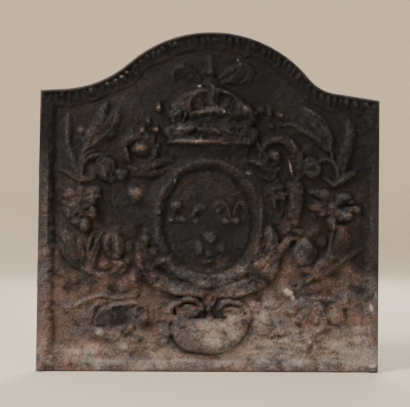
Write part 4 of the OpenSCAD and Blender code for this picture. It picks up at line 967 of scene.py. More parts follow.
cut("plate", [(-240, 27, 3.2, 1), (-100, 28, 3.4, 1), (0, 24, 3, 0.8), (60, 28, 3.4, 1.6),
     (150, 29, 3.4, 1.8), (228, 28, 3.2, 1.4)])
worn({"scroll_left": 0.85, "shell_volute_left": 0.8, "shell_volute_right": 0.8})
print("scrolls carved")

# %% Let the ground swell round the carving
crowd = 0.36 * soften(np.minimum(relief, 10) * ((DEPTH > 30) | (GZ < 30)), 15.0)
relief = relief + crowd * ramp(DEPTH, 26, 40) * ramp(10 - relief, 0, 10)
print("ground swells by up to", round(float(crowd.max()), 1), "mm")

# %% [markdown]
# ## What the sand and the fires did
# A hand-packed sand mould never repeats the pattern exactly, and centuries of heat and
# scraping wear it down. First the carving is bent a little, so that no line stays
# ruled. Then it is softened twice: a short blur rounds arrises, and a longer one fills
# the corners as caked soot does. Last comes the grain of the iron itself.

# %% Sand and wear
SAND_MM, SILT_MM, SILT_SHARE = 0.9, 4.6, 0.30
EDGE_ROUND_MM = 3.0


def patch_of(x, z, rx, rz, turn=0.0):
    """A soft spot over the whole map, 1 in its middle and faint beyond its oval."""
    return np.exp(-1.2 * turned_oval(GX, GZ, x, z, rx, rz, turn))


def stain(field, *spots):
    """Adds soft spots of (x, z, half width, half height, percent, turn) to a map."""
    for x, z, rx, rz, percent, *turn in spots:
        field += percent / 100 * patch_of(x, z, rx, rz, *turn)


free = ramp(DEPTH, 7, 15)
bent_x = GX + grains((1, 16, 8), (0.38, 17, 2.4)) * free
bent_z = GZ + grains((1, 18, 8), (0.38, 19, 2.4)) * free
relief = sample(np.where(ON_BOARD, relief, 0), bent_x, bent_z)
owner = owner[grid_place(bent_x, bent_z)]
restless = np.full(GX.shape, 0.55)
stain(restless,
      (0, 405, 70, 40, 50), (-90, 150, 40, 45, 60), (75, 150, 50, 45, 60), (-110, 65, 60, 40, 80),
      (130, 75, 90, 50, 70), (-190, 245, 35, 35, 50), (190, 245, 35, 35, 50),
      (-100, 330, 40, 35, 40), (100, 330, 40, 35, 40), (-1, 230, 58, 72, -50), (2, 55, 46, 30, -35),
      (0, 332, 60, 9, -40))
relief += grains((0.8, 30, 1.3), (0.6, 31, 2.8)) * restless * ramp(relief, 1.5, 6.0) * free
relief -= 1.6 * ramp(grain(32, 1.3), 1.3, 2.6) * restless * ramp(relief, 2, 5) * free
relief *= 1 + (0.16 + 0.12 * grain(20, 8.0)) * free
fine_form = soften(relief, SAND_MM)
relief = fine_form * (1 - SILT_SHARE) + soften(relief, SILT_MM) * SILT_SHARE
relief = np.where(ON_BOARD, relief, 0)
outwards = EDGE_ROUND_MM - np.clip(DEPTH, 0, EDGE_ROUND_MM)
relief -= (EDGE_ROUND_MM - np.sqrt(EDGE_ROUND_MM**2 - outwards**2)) * (relief > 2)

pits = grains((0.13, 11, 0.9), (0.22, 12, 1.8), (0.28, 13, 4), (0.35, 14, 14))
scabs = 0.7 * ramp(grain(15, 2.6), 1.2, 2.6)
ground = (pits + scabs) * ramp(DEPTH, 0, 4)
surface = relief + ground
print("sand grain spreads", round(float(ground.std()), 2), "mm about the smooth carving")

# %% [markdown]
# ## Cutting the surface into pieces
# Each piece takes the cells that its solid covers and the fillet round them. Its mesh
# is closed: the carved face, walls that go down into the board, and a back inside
# the board. Neighbours share the same grid points, so no seam shows between them.

# %% Whose cell is it
SHOWS_MM, INSIDE_MM, FILLET_POINTS, MENDS = 0.06, 0.25, 6, 3


def corners(field):
    """Every cell's lower left, lower right, upper left and upper right point."""
    return field[:-1, :-1], field[:-1, 1:], field[1:, :-1], field[1:, 1:]


spread = owner * (DEPTH > -2)
for _ in range(FILLET_POINTS):
    for shift, axis in ((1, 0), (-1, 0), (1, 1), (-1, 1)):
        beside = np.roll(spread, shift, axis)
        empty = (spread == 0) & (beside > 0)
        spread[empty] = beside[empty]
shown, outside = relief > SHOWS_MM, DEPTH <= INSIDE_MM
any_shown = np.logical_or.reduce(corners(shown))
cell_owner = np.zeros(any_shown.shape, np.int16)
for part in corners(spread):
    take = any_shown & (cell_owner == 0) & (part > 0)
    cell_owner[take] = part[take]
cell_owner[np.logical_and.reduce(corners(outside))] = 0
for _ in range(MENDS):
    a, b, c, d = corners(cell_owner)
    crossed = (a == d) & (a != b) & (a != c)
    b[crossed] = a[crossed]
    crossed = (b == c) & (b != a) & (b != d)
    a[crossed] = b[crossed]
print("cells cut into", len(np.unique(cell_owner)) - 1, "carved pieces")

# %% Snap edge points to the outline
SUNK_MM, DIVE_MM = 1.5, 0.5
PX, PZ = np.where(outside, NEAR_X, GX), np.where(outside, NEAR_Z, GZ)
TOP = np.where(shown | outside, surface, ground - DIVE_MM)
slope_z, slope_x = np.gradient(surface, STEP)
NORMALS = np.stack([-slope_x, -np.ones_like(slope_x), -slope_z], -1)
NORMALS /= np.linalg.norm(NORMALS, axis=-1, keepdims=True)
print(int(outside.sum()), "points lie outside and move to the nearest place on the outline")


# %% A closed piece from cells
def inner_triangles(points, edges):
    """Triangles of the region on the left of directed edges: the back of a piece."""
    _, _, faces, olds, _, _ = delaunay_2d_cdt([Vector(p) for p in points], edges, [], 0, 1e-6)
    back_to = [group[0] if group else -1 for group in olds]
    renumber = {old: new for new, group in enumerate(olds) for old in group}
    ahead = {(renumber[a], renumber[b]) for a, b in edges}
    holder = {pair: i for i, face in enumerate(faces) for pair in zip(face, face[1:] + face[:1])}
    todo = [holder[pair] for pair in ahead if pair in holder]
    kept = set(todo)
    while todo:
        face = faces[todo.pop()]
        for a, b in zip(face, face[1:] + face[:1]):
            if (a, b) in ahead or (b, a) in ahead:
                continue
            other = holder.get((b, a))
            if other is not None and other not in kept:
                kept.add(other)
                todo.append(other)
    return [[back_to[v] for v in faces[i]] for i in sorted(kept)]


def rim_edges(cells, ids):
    """Directed edges round a set of cells, with the cells on their left."""
    full = np.pad(cells, 1)
    sw, se, nw, ne = corners(ids)
    sides = ((full[:-2, 1:-1], sw, se), (full[1:-1, 2:], se, ne),
             (full[2:, 1:-1], ne, nw), (full[1:-1, :-2], nw, sw))
    return np.concatenate([np.stack([a[cells & ~beside], b[cells & ~beside]], -1)
                           for beside, a, b in sides])


def skin(cells, px, pz, high):
    """The carved face over some cells: used grid points, places, quads and rim edges."""
    used = np.zeros(px.shape, bool)
    for part in corners(used):
        part |= cells
    ids = np.full(px.shape, -1)
    ids[used] = np.arange(used.sum())
    top = np.stack([px[used], FACE_Y - high[used], pz[used]], -1)
    sw, se, nw, ne = (part[cells] for part in corners(ids))
    return used, top, np.stack([sw, se, ne, nw], -1), rim_edges(cells, ids)


def cast(name, points, faces, smooth):
    """A mesh in metres from points in mm, with its first faces smooth."""
    mesh = bpy.data.meshes.new(name + "_cast")
    mesh.from_pydata((points * MM).tolist(), [], faces)
    mesh.polygons.foreach_set("use_smooth", np.arange(len(faces)) < smooth)
    return mesh


def carved_piece(name):
    """Makes the closed mesh of one carved piece out of its cells of the surface."""
    used, top, quads, edges = skin(cell_owner == number[name], PX, PZ, TOP)
    ring, first = np.unique(edges), len(top)
    low = np.full(first, -1)
    low[ring] = first + np.arange(len(ring))
    below = top[ring].copy()
    below[:, 1] = FACE_Y + np.where(outside[used][ring], 0.0, SUNK_MM)
    backs = inner_triangles(below[:, [0, 2]].tolist(),
                            [tuple(pair) for pair in (low[edges] - first).tolist()])
    faces = quads.tolist()
    faces += [[b, a, low[a], low[b]] for a, b in edges.tolist()]
    faces += [[first + c, first + b, first + a] for a, b, c in backs]
    mesh = cast(name, np.concatenate([top, below]), faces, len(quads))
    normals = [tuple(v) for v in NORMALS[used][quads.reshape(-1)]]
    normals += [(0.0, 0.0, 0.0)] * (sum(map(len, faces)) - quads.size)
    mesh.normals_split_custom_set(normals)
    at = np.flatnonzero(used)
    return add_piece(mesh, name, np.concatenate([at, at[ring]]))


# %% Hand a piece to the frame
def add_piece(mesh, node, grid_points, behind=False):
    """Puts a finished mesh in place of its node, with its wear maps and its slot."""
    for label, front_map in wear_maps.items():
        values = np.where(behind, back_maps[label].reshape(-1)[grid_points],
                          front_map.reshape(-1)[grid_points])
        layer = mesh.attributes.new(label, "FLOAT", "POINT")
        layer.data.foreach_set("value", values.astype(np.float32))
    piece = bpy.data.objects.new(node + "_cast", mesh)
    bpy.context.scene.collection.objects.link(piece)
    slot = slots[node]
    mesh.materials.append(finishes[slot])
    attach(piece, "root")
    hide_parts(node)
    return piece


slots = {row["node"]: row["material_slot"] for row in frame["record"]["subparts"]}
print("material slots:", sorted(set(slots.values())))

# %% [markdown]
# ## Where soot, rust and ash lie, and where light and shade are painted
# Seven maps tell the iron how to look at each point: how proud it stands, how brown,
# ashy, cool, sooty or red it is, and where lime has dried pale on it. The ash and pale
# maps also carry painted highlights, the cool map a painted bluish sheen and shade, and
# the soot map painted shade and shadows. Each starts from the height on the plate, since
# rust and ash gather at the hearth and soot above it.
# Then come spots, laid one by one: (x, z, half width, half height, percent, turn).

# %% Wear maps
proud = (0.15 * (fine_form - soften(fine_form, 4.0))
         + 0.08 * (fine_form - soften(fine_form, 13.0)))
blotch, patchy, fleck, speck = grain(21, 12.0), grain(22, 5.0), grain(23, 2.0), grain(25, 1.1)

brown = ramp(202 - GZ + 8 * blotch + 7 * patchy, 0, 150)
stain(brown,
      (-115, 440, 60, 24, 16), (-150, 410, 90, 40, 16), (218, 250, 28, 40, 25),
      (132, 205, 26, 30, 25), (120, 150, 50, 25, 15), (-190, 105, 40, 20, 30),
      (75, 105, 30, 20, 35), (-160, 130, 26, 16, 35), (215, 130, 26, 20, 40), (0, 470, 60, 25, 20),
      (110, 410, 50, 30, 12), (-215, 245, 45, 70, 30), (-165, 200, 60, 40, 22),
      (205, 240, 45, 60, 24), (110, 185, 50, 50, 34), (-108, 268, 14, 16, 40), (0, 345, 60, 5, 25),
      (0, 390, 56, 5, 15), (162, 248, 12, 10, 30), (-101, 336, 12, 12, 20), (-40, 402, 22, 12, 5),
      (48, 402, 16, 10, 12), (-240, 120, 30, 90, 25), (-150, 240, 30, 70, 10),
      (-190, 340, 40, 50, 12), (-6, 282, 44, 22, 16), (-50, 362, 16, 8, 30))
# Less brown on the lower half of the shield's field, where painted shade lies.
brown *= 1 - 0.75 * patch_of(-3, 186, 56, 42)
brown = brown * (1 + 0.16 * patchy + 0.14 * fleck + 0.08 * speck) + 0.04 * patchy

ash_and_highlight = 0.80 * ramp(82 - GZ + 8 * blotch + 4 * patchy, 0, 92)
# Ash about the foot, then painted highlights on raised forms, partly dust.
stain(ash_and_highlight,
      (75, 104, 28, 18, 20), (-190, 100, 30, 15, 14), (205, 60, 50, 30, 14), (75, 25, 40, 15, 18),
      (215, 25, 40, 20, 18), (45, 32, 60, 16, 45), (82, 88, 44, 34, 32), (15, 62, 50, 22, 40),
      (150, 50, 70, 30, 30), (95, 75, 70, 45, 22), (215, 60, 40, 60, 25), (-110, 62, 60, 30, 15),
      (-180, 25, 60, 20, 20), (235, 30, 30, 40, 25), (110, 130, 60, 40, 14), (-60, 120, 60, 20, 8),
      # Painted highlights on the shell, and less ash on its lower half, where painted shade lies.
      (34, 82, 9, 6, 50), (-10, 66, 8, 10, 40), (5, 56, 48, 18, 16), (-161, 61, 7, 7, 40),
      (-125, 37, 9, 5, 35), (34, 42, 26, 9, -50), (-34, 40, 26, 9, -50), (0, 32, 30, 5, -40),
      (-220, 20, 50, 30, -30), (10, 74, 34, 8, 20),
      # From here on, mostly painted highlights on raised forms and on the frame's lit lower side.
      (-40, 364, 14, 7, 36), (-50, 388, 8, 4, 30), (-20, 389, 14, 4, 26.4), (0, 393, 14, 6, 36),
      (12, 396, 8, 5, 36), (-15, 346, 24, 3, 60), (-45, 346, 12, 3, 42), (5, 362, 26, 4, 18),
      (53, 396, 5, 5, 42), (46, 402, 8, 7, 24), (-40, 402, 12, 9, 24), (22, 421, 9, 2.5, 36),
      (-24, 419, 8, 2.5, 30), (-16, 430, 4, 2.5, 60), (3, 453, 4, 4, 42), (-77, 396, 4, 7, 42),
      (-80, 364, 4, 4, 48), (-102, 363, 3.5, 4, 36), (-93, 376, 3, 4, 30), (108, 388, 4, 3.5, 48),
      (21, 391, 2.5, 2.5, 96), (-103, 336, 9, 6, 42), (98, 326, 6, 6, 35),
      (122, 309, 2, 11, 50, 12), (-57, 228, 3, 3, 35), (-42, 228, 7, 4, 15), (-20, 227, 4, 4, 30),
      (-16, 246, 9, 3.5, 35, 25), (-50, 252, 8, 4, 25), (-30, 269, 11, 3.5, 18),
      (26, 228, 7, 4, 15), (41, 229, 7, 4, 20), (18, 253, 9, 3, 25), (14, 243, 3, 3, 25),
      (50, 253, 8, 3, 25), (2, 205, 9, 9, 25), (3, 197, 5, 3, 25), (-14, 187, 7, 8, 20),
      (-18, 179, 3, 3, 30), (20, 187, 7, 7, 30), (0, 167, 8, 3, 40), (0, 146, 45, 12, 16),
      (58, 160, 12, 16, 20), (-95, 202, 7, 6, 30), (-82, 178, 8, 7, 30), (-68, 168, 8, 5, 40),
      (85, 205, 7, 12, 20), (75, 165, 14, 14, 20), (-74, 252, 2.5, 3, 40), (-75, 240, 3, 4, 40),
      (-75, 228, 2.5, 2.5, 40), (78, 255, 2.5, 35, 15), (58, 299, 6, 3, 40), (-52, 287, 2, 5, 40),
      (-108, 268, 9, 9, 30), (160, 250, 10, 5, 20), (-176, 262, 12, 7, 20), (-200, 240, 10, 10, 15),
      (176, 267, 10, 8, 15), (205, 237, 10, 6, 20), (196, 244, 6, 6, 20),
      (122, 119, 6, 4.5, 140, -30), (128, 112, 2.5, 4, 100), (117, 123, 4, 3, 100),
      (162, 38, 3.5, 3.5, 90), (153, 46, 4, 4, 70), (116, 45, 9, 2.5, 70, -15), (84, 22, 6, 4, 60),
      (200, 30, 6, 2.5, 50), (228, 55, 7, 28, 25), (246, 98, 3, 9, 80, 15),
      (252, 115, 1.8, 14, 50, -18), (-161, 59, 7, 7, 50), (-125, 36, 6, 4, 50),
      (-146, 93, 2.5, 6, 35), (-70, 62, 8, 7, 30), (-178, 72, 2.2, 18, -50),
      (248, 10, 7, 3, 160, 20), (-199, 30, 10, 3, 50, 30), (-172, 346, 3, 12, 30, -30),
      (-215, 345, 2.5, 30, 24), (150, 395, 14, 2.5, 30, -35), (-60, 122, 30, 5, 20, -20),
      (50, 122, 30, 5, 15, 20))

# Pale lime spots, and small painted white highlights on raised tips of crown, frame and leaves.
pale = np.zeros(GX.shape)
stain(pale,
      (122, 119, 6, 4.5, 110.5, -30), (128, 112, 2.5, 4, 76.5), (117, 123, 4, 3, 76.5),
      (248, 10, 7, 3, 102, 20), (162, 38, 3.2, 3.2, 76.5), (153, 46, 3.5, 3.5, 59.5),
      (116, 45, 9, 2, 51, -15), (200, 30, 5, 2, 42.5), (82, 20, 5, 4, 38.25), (89, 32, 3, 3, 29.75),
      (246, 98, 2.6, 8, 76.5, 15), (252, 118, 1.6, 16, 51, 18), (-196, 29, 6, 2, 76.5, -50),
      (-125, 36, 5, 3, 76.5), (-161, 59, 7, 6, 38.25), (-183, 53, 3, 3, 25.5),
      (-146, 93, 2, 6, 29.75), (-70, 62, 8, 6, 21.25), (45, 30, 25, 9, 21.25),
      (35, 82, 7, 4, 29.75), (-10, 66, 6, 6, 21.25), (21, 391, 2.4, 2.4, 68.2),
      (53, 398, 3.2, 3.2, 37.2), (69, 389, 2.4, 2.4, 31), (-16, 430, 4, 2.2, 49.6),
      (-43, 366, 8, 4, 24.8), (-45, 357, 5, 3, 21.7), (-30, 368, 6, 2, 18.6),
      (-20, 346, 22, 1.8, 24.8), (8, 362, 8, 3, 18.6), (-77, 396, 3, 6, 21.7),
      (-80, 364, 3.4, 3.4, 31), (-102, 362, 3, 3, 21.7), (42, 471, 1.8, 3, 55.8),
      (45, 465, 1.8, 1.8, 55.8), (108, 388, 3, 2.6, 31), (122, 309, 1.6, 11, 49.6, 12),
      (-57, 228, 2.6, 2.6, 31), (-20, 227, 3.4, 3.4, 18.6), (46, 229, 3, 3, 21.7),
      (58, 299, 5, 2.4, 37.2), (-52, 287, 1.8, 5, 43.4), (-74, 240, 3, 4, 21.7),
      (-75, 252, 2, 3, 24.8), (-68, 166, 6, 4, 31), (188, 220, 1.8, 4.5, 62),
      (-254, 179, 2, 2.5, 43.4), (-246, 262, 3, 8, 18.6), (-238, 272, 2, 5, 21.7),
      (-243, 310, 2, 6, 18.6), (-96, 337, 4, 3, 18.6), (-97, 302, 3, 3, 21.7),
      (-108, 299, 5, 2, 21.7, -50), (-210, 256, 3, 2, 18.6), (-196, 240, 3, 2, 18.6),
      (101, 330, 4, 4, 15.5), (92, 140, 2, 5, 21.7, -20), (102, 137, 2, 5, 24.8, -20),
      (66, 166, 2, 6, 24.8, -30), (75, 160, 2, 6, 18.6, -30), (-114, 270, 3, 3, 18.6),
      (160, 398, 12, 1.6, 18.6, -35))

# The bead tips take pale ash and lime, with painted highlights, strongest on the left of the arch.
chance = np.random.default_rng(6)
for field, span, size, elsewhere in ((ash_and_highlight, (0.0, 0.8), (4.4, 3.2), 0.4),
                                     (pale, (-0.2, 0.5), (3.4, 2.4), 0.25)):
    for x, z, tall in bead_tips:
        bright = 1.0 if -190 < x < -50 else elsewhere
        field += chance.uniform(*span) * tall * bright * patch_of(x, z, *size, 40)

streak = sample(grain(29, 3.0), X_LOW + 0.25 * (GX - X_LOW), GZ)
# A painted highlight on the lower, lit side of the frame's dish.
ash_and_highlight += (0.18 * ramp(across, 0.05, 0.2) * ramp(1 - across, 0.05, 0.2)
        * in_frame * ramp(-from_z, 45, 75))
ash_and_highlight = ash_and_highlight * (0.95 + 0.10 * patchy + 0.20 * streak + 0.10 * fleck + 0.08 * speck)
ash_and_highlight *= 0.55 + 0.45 * ramp(GZ + 2 * patchy, 3, 12)

# Soot lies high on the border and round the crown; the spots also paint shade and shadow:
soot_and_shade = 0.75 * ramp(27 - DEPTH + 2 * patchy, 0, 5) * ramp(GZ, 120, 260)
# under and beside the crown, by straps, flowers and shell, in hollows, and on the lower field.
stain(soot_and_shade,
      (-140, 425, 45, 25, 20), (-80, 425, 45, 30, 40), (0, 445, 50, 22, 25), (65, 425, 50, 30, 40),
      (110, 380, 30, 30, 25), (225, 300, 30, 40, 30), (82, 345, 20, 22, 35), (205, 350, 40, 40, 25),
      (-225, 415, 30, 20, 25), (75, 385, 30, 60, 55), (-72, 350, 16, 50, 55), (70, 450, 60, 40, 25),
      (150, 330, 40, 50, 25), (225, 330, 30, 60, 35), (0, 400, 75, 50, 26), (0, 485, 130, 34, 30),
      (5, 331, 42, 9, 30), (0, 322, 60, 14, 35), (-40, 310, 30, 20, 30), (95, 290, 30, 30, 25),
      (-148, 335, 10, 30, 20), (-166, 250, 8, 25, 40), (175, 222, 16, 10, 50),
      (-143, 80, 24, 12, 55), (0, 88, 26, 9, 60), (-28, 103, 20, 5, 30), (40, 101, 16, 5, 30),
      (-60, 112, 40, 6, 45), (80, 122, 34, 8, 35), (-100, 137, 10, 20, 35), (0, 125, 40, 7, 50),
      (-5, 190, 58, 44, 28), (-20, 378, 50, 5, 40), (-28, 357, 16, 5, 35), (0, 331, 60, 9, 35),
      (-160, 232, 12, 20, 50), (205, 226, 14, 8, 40),
      (-46, 379, 7, 4, 60), (-24, 379, 12, 3.5, 55), (14, 381, 10, 3.5, 60), (42, 380, 14, 4, 60),
      (-41, 385, 1.6, 6, 60), (-33, 385, 1.6, 6, 60), (-28, 357, 14, 3.5, 45), (-5, 357, 5, 3, 50),
      (50, 364, 14, 7, 30), (4, 332, 52, 10, 90), (12, 474, 60, 13, 50), (-38, 450, 30, 16, 50),
      (56, 448, 26, 15, 30), (0, 476, 14, 5, 20), (-8, 460, 3, 12, 45), (14, 458, 3, 12, 45),
      (70, 450, 3, 12, 45), (27, 455, 8, 3, 35, 45), (58, 335, 8, 12, 40), (-120, 76, 44, 17, 20),
      (-128, 90, 14, 5, 35), (-100, 92, 10, 5, 30), (-161, 68.5, 9, 2.5, 60), (-141, 94, 4, 3, 50),
      (-132, 98, 4, 3, 50), (-123, 93, 4, 3, 50), (-113, 98, 4, 3, 50), (-104, 92, 4, 3, 50),
      (-90, 88, 1.6, 9, 50), (-81, 88, 1.6, 9, 50), (-73, 88, 1.6, 9, 40), (-56, 45, 9, 7, 30),
      (140, 60, 9, 15, 25), (90, 40, 10, 7, 20), (211, 75, 4, 22, 20), (48, 228, 2, 6, 50),
      (50, 241, 4, 7, 40), (22, 238, 4, 5, 40), (-46, 239, 4, 5, 40), (-16, 237, 4.5, 3.5, 40),
      (12, 194, 5, 8, 30), (69, 362, 5, 34, 70), (-71, 365, 3.5, 8, 80), (82, 392, 3.5, 9, 80),
      (72, 382, 8, 12, 40), (-70, 395, 4, 14, 40), (45, 380, 20, 7, 40), (48, 363, 14, 6, 35),
      (-8, 414, 3, 7, 70), (12, 417, 3, 6, 70), (-28, 405, 2, 10, 50), (25, 414, 10, 4, 35),
      (-55, 284, 6, 16, 50, -32), (-67, 240, 4, 26, 40), (-33, 306, 18, 5, 60, 24),
      (12, 309, 30, 4.5, 50), (46, 296, 16, 4, 40, -38), (64, 262, 3, 24, 35),
      (32, 186, 20, 16, 35), (-48, 240, 5, 6, 40), (-15, 238, 5, 6, 30), (15, 240, 5, 6, 40),
      (50, 240, 5, 6, 45), (-97, 188, 6, 10, 40), (-67, 163, 3.5, 3, 60), (110, 245, 8, 12, 40),
      (107, 280, 6, 8, 30), (-70, 151, 14, 7, 25, -25), (-44, 450, 3, 9, 35, 15),
      (-27, 453, 2.5, 12, 40, 35), (50, 455, 2.5, 9, 30, -30), (37, 458, 2.5, 7, 30, -30),
      (-111, 163, 4, 22, 35, 12), (-92, 133, 16, 4, 40, -38), (-50, 110, 26, 4, 35, -10),
      (100, 138, 16, 4, 35, 40), (112, 168, 4, 20, 30, -12), (-162, 236, 6, 16, 40, 20),
      (-104, 322, 14, 4, 40), (110, 334, 5, 12, 45), (-88, 290, 14, 5, 30), (85, 290, 16, 6, 35),
      (-163, 300, 3, 10, 30), (206, 228, 12, 5, 30), (160, 232, 10, 6, 30), (-190, 205, 26, 6, 20),
      (-150, 218, 16, 5, 25), (-87, 68, 14, 9, 40), (-143, 80, 28, 15, 45), (-92, 76, 26, 13, 30),
      (-120, 96, 30, 4, 30), (208, 172, 24, 5, 35, 38), (200, 160, 30, 3, 30, 38),
      (0, 90, 20, 5, 30), (-177, 75, 5, 18, 30), (-120, 52, 12, 6, 25), (0, 28, 50, 2.5, 40),
      (-58, 60, 3, 24, 35), (60, 62, 3, 22, 30), (190, 72, 14, 4, 25), (208, 86, 4, 12, 25))
# Painted shade on the frame's inner slope in its upper half, which faces away from the light.
shaded_inner_slope = (across > 0) * ramp(0.62 - across, 0, 0.3) * (in_of >= 1) * ramp(from_z, -60, 0)
soot_and_shade += 0.8 * shaded_inner_slope
# A painted highlight on the crest of the frame's lip, on its upper part.
lit_lip = ramp(across, 0.66, 0.80) * ramp(1 - across, 0.0, 0.12) * ramp(from_z, -40, 20)
brown += 0.22 * lit_lip
soot_and_shade -= 0.35 * lit_lip
side_band = ramp(17 - DEPTH, 0, 4) * np.where(GX < -200, 1.0, 0.75) * (abs(GX) > 200)
low_down = ramp(350 - GZ, 0, 40)
soot_and_shade *= 1 - 0.7 * side_band * np.where(GX > 0, 1.0, low_down)
soot_and_shade = soot_and_shade * (1 + 0.25 * patchy + 0.15 * fleck)

# A cool tint at random, stronger on the border, where it is a painted bluish sheen;
cool_sheen_and_shade = (0.35 + grains((0.3, 24, 12), (0.3, 26, 3)) + 0.35 * ramp(26 - DEPTH, 0, 8)
        + 0.35 * ramp(GX, 20, 200) * ramp(GZ, 150, 300))
# its spots also paint bluish shade under the crown, on the lower field and shell, and in hollows.
stain(cool_sheen_and_shade,
      (0, 331, 60, 9, 80), (-5, 190, 60, 50, 120), (0, 250, 60, 60, 30), (-60, 275, 14, 40, 50),
      (0, 380, 70, 45, 25), (244, 350, 10, 50, 40), (143, 182, 12, 14, 80), (-60, 45, 30, 25, 40),
      (-70, 155, 16, 14, 50), (-143, 80, 24, 14, 50), (0, 36, 50, 9, 60), (207, 335, 10, 40, 50),
      (160, 370, 20, 30, 30), (110, 315, 30, 30, 40), (-212, 345, 9, 40, 30), (60, 25, 60, 12, 20),
      (34, 44, 24, 9, 50), (-34, 40, 24, 9, 50), (150, 40, 60, 16, 20), (-30, 10, 150, 8, 50),
      (-108, 140, 20, 20, -60), (130, 150, 30, 24, -60), (-150, 160, 26, 14, -30),
      (50, 108, 30, 8, -40))
red = 0.22 + grains((0.3, 27, 14), (0.28, 28, 3.5))
stain(red,
      (-108, 140, 15, 22, 90), (-150, 160, 26, 12, 60), (130, 150, 30, 20, 90),
      (50, 108, 30, 9, 60), (0, 480, 60, 12, 50), (-110, 430, 50, 25, 40), (-108, 268, 14, 15, 90),
      (162, 248, 12, 9, 80), (-180, 95, 10, 40, 40), (-125, 90, 30, 5, 50), (0, 346, 60, 5, 30),
      (0, 385, 62, 44, -30), (0, 55, 60, 30, -35), (60, 22, 120, 12, -25), (-215, 120, 30, 40, 30),
      (200, 60, 40, 50, 20), (-5, 190, 60, 50, -40), (0, 331, 60, 9, -40))
edge_line = ramp(4.2 - DEPTH, 0, 2) * ramp(GZ, 330, 420)
soot_and_shade *= 1 - 0.9 * edge_line
brown += edge_line + 0.3 * side_band * low_down
red += 0.8 * edge_line
wear_maps = {"proud": np.clip(proud, -1, 1)}
for label, field in (("brown", brown), ("ash_and_highlight", ash_and_highlight), ("cool_sheen_and_shade", cool_sheen_and_shade), ("soot_and_shade", soot_and_shade),
                     ("red", red), ("pale", pale)):
    wear_maps[label] = np.clip(field, 0, 1)

dull = grain(70, 20.0)
back_maps = {
    "proud": np.clip(0.2 + 0.12 * grain(61, 5.0), -1, 1),
    "brown": np.clip(0.50 + 0.05 * dull + 0.05 * patchy, 0, 1),
    "ash_and_highlight": np.clip(0.04 + 0.03 * patchy - 0.02 * dull, 0, 1),
    "cool_sheen_and_shade": np.clip(0.22 + 0.06 * grain(71, 10.0), 0, 1),
    "soot_and_shade": np.clip(0.14 - 0.05 * dull + 0.05 * fleck, 0, 1),
    "red": np.clip(0.38 + 0.08 * grain(72, 12.0), 0, 1),
    "pale": np.zeros(GX.shape),
}
print({label: round(float(field[ON_BOARD].mean()), 2) for label, field in wear_maps.items()})

# %% [markdown]
# ## The look of the iron
# One shader dresses every slot. It starts from soot, lighter where high places are rubbed
# and carry a painted highlight, lets brown and ash cover it where their maps say, cools or
# reddens the mix, partly with a painted bluish sheen, and darkens soot and hollows with
# soot and painted shade. Painted glints and pale lime spots with painted white highlights
# come last. The grain of the noise shifts each of these borders, so that none of them
# looks painted on.


# %% Shader maths as plain expressions
class Shade:
    """One output socket of a node. Arithmetic on it adds Math nodes to its tree."""

    def __init__(self, tree, socket):
        self.tree, self.socket = tree, socket

    @staticmethod
    def node(tree, kind, settings=None, inputs=None, output=0):
        """Adds a node: its settings first, then the values or links of its sockets."""
        made = tree.nodes.new(kind)
        for key, value in (settings or {}).items():
            setattr(made, key, value)
        for key, value in (inputs or {}).items():
            if isinstance(value, Shade):
                tree.links.new(value.socket, made.inputs[key])
            else:
                made.inputs[key].default_value = value
        return Shade(tree, made.outputs[output])

    def maths(self, operation, first, second):
        return Shade.node(self.tree, "ShaderNodeMath", {"operation": operation},
                          {0: first, 1: second})

    def __add__(self, other): return self.maths("ADD", self, other)
    def __radd__(self, other): return self.maths("ADD", other, self)
    def __sub__(self, other): return self.maths("SUBTRACT", self, other)
    def __rsub__(self, other): return self.maths("SUBTRACT", other, self)
    def __mul__(self, other): return self.maths("MULTIPLY", self, other)
    def __rmul__(self, other): return self.maths("MULTIPLY", other, self)

    def between(self, low, high):
        """0 where this is below low, 1 above high."""
        return Shade.node(self.tree, "ShaderNodeMapRange", {"interpolation_type": "SMOOTHSTEP"},
                          {"Value": self, "From Min": low, "From Max": high})

    def mix(self, under, over, **settings):
        """Mixes two colours, with this as the factor."""
        return Shade.node(self.tree, "ShaderNodeMix", {"data_type": "RGBA", **settings},
                          {0: self, 6: under, 7: over}, 2)

    def tint(self, under, over):
        """Mixes two colours, with this as the amount of the second."""
        return self.mix(under, over)

    def wash(self, under, over):
        """Multiplies one colour by another, with this as the strength."""
        return self.mix(under, over, blend_type="MULTIPLY")


# %% The iron
def rgb(red, green, blue):
    return (red, green, blue, 1)


# The lighter colours show on high places that are rubbed and also carry painted highlights.
SOOT, SOOT_HIGH = rgb(0.0112, 0.0095, 0.0087), rgb(0.036, 0.0310, 0.0290)
# The two darkest colours stand for soot and painted shade.
HOLLOW_SOOT_AND_SHADE, BLACK = rgb(0.0036, 0.0033, 0.0032), rgb(0.0050, 0.0046, 0.0049)
BROWN, BROWN_HIGH = rgb(0.084, 0.058, 0.050), rgb(0.140, 0.108, 0.096)
ASH, ASH_HIGH = rgb(0.178, 0.143, 0.126), rgb(0.300, 0.258, 0.230)
# The bluish tint is partly a painted sheen and shade.
BLUISH, REDDISH = rgb(0.80, 0.98, 1.16), rgb(1.13, 0.95, 0.94)
# A painted glint, and a pale colour for lime spots and painted white highlights.
PAINTED_GLINT, LIME_AND_HIGHLIGHT = rgb(0.17, 0.155, 0.142), rgb(0.36, 0.325, 0.285)


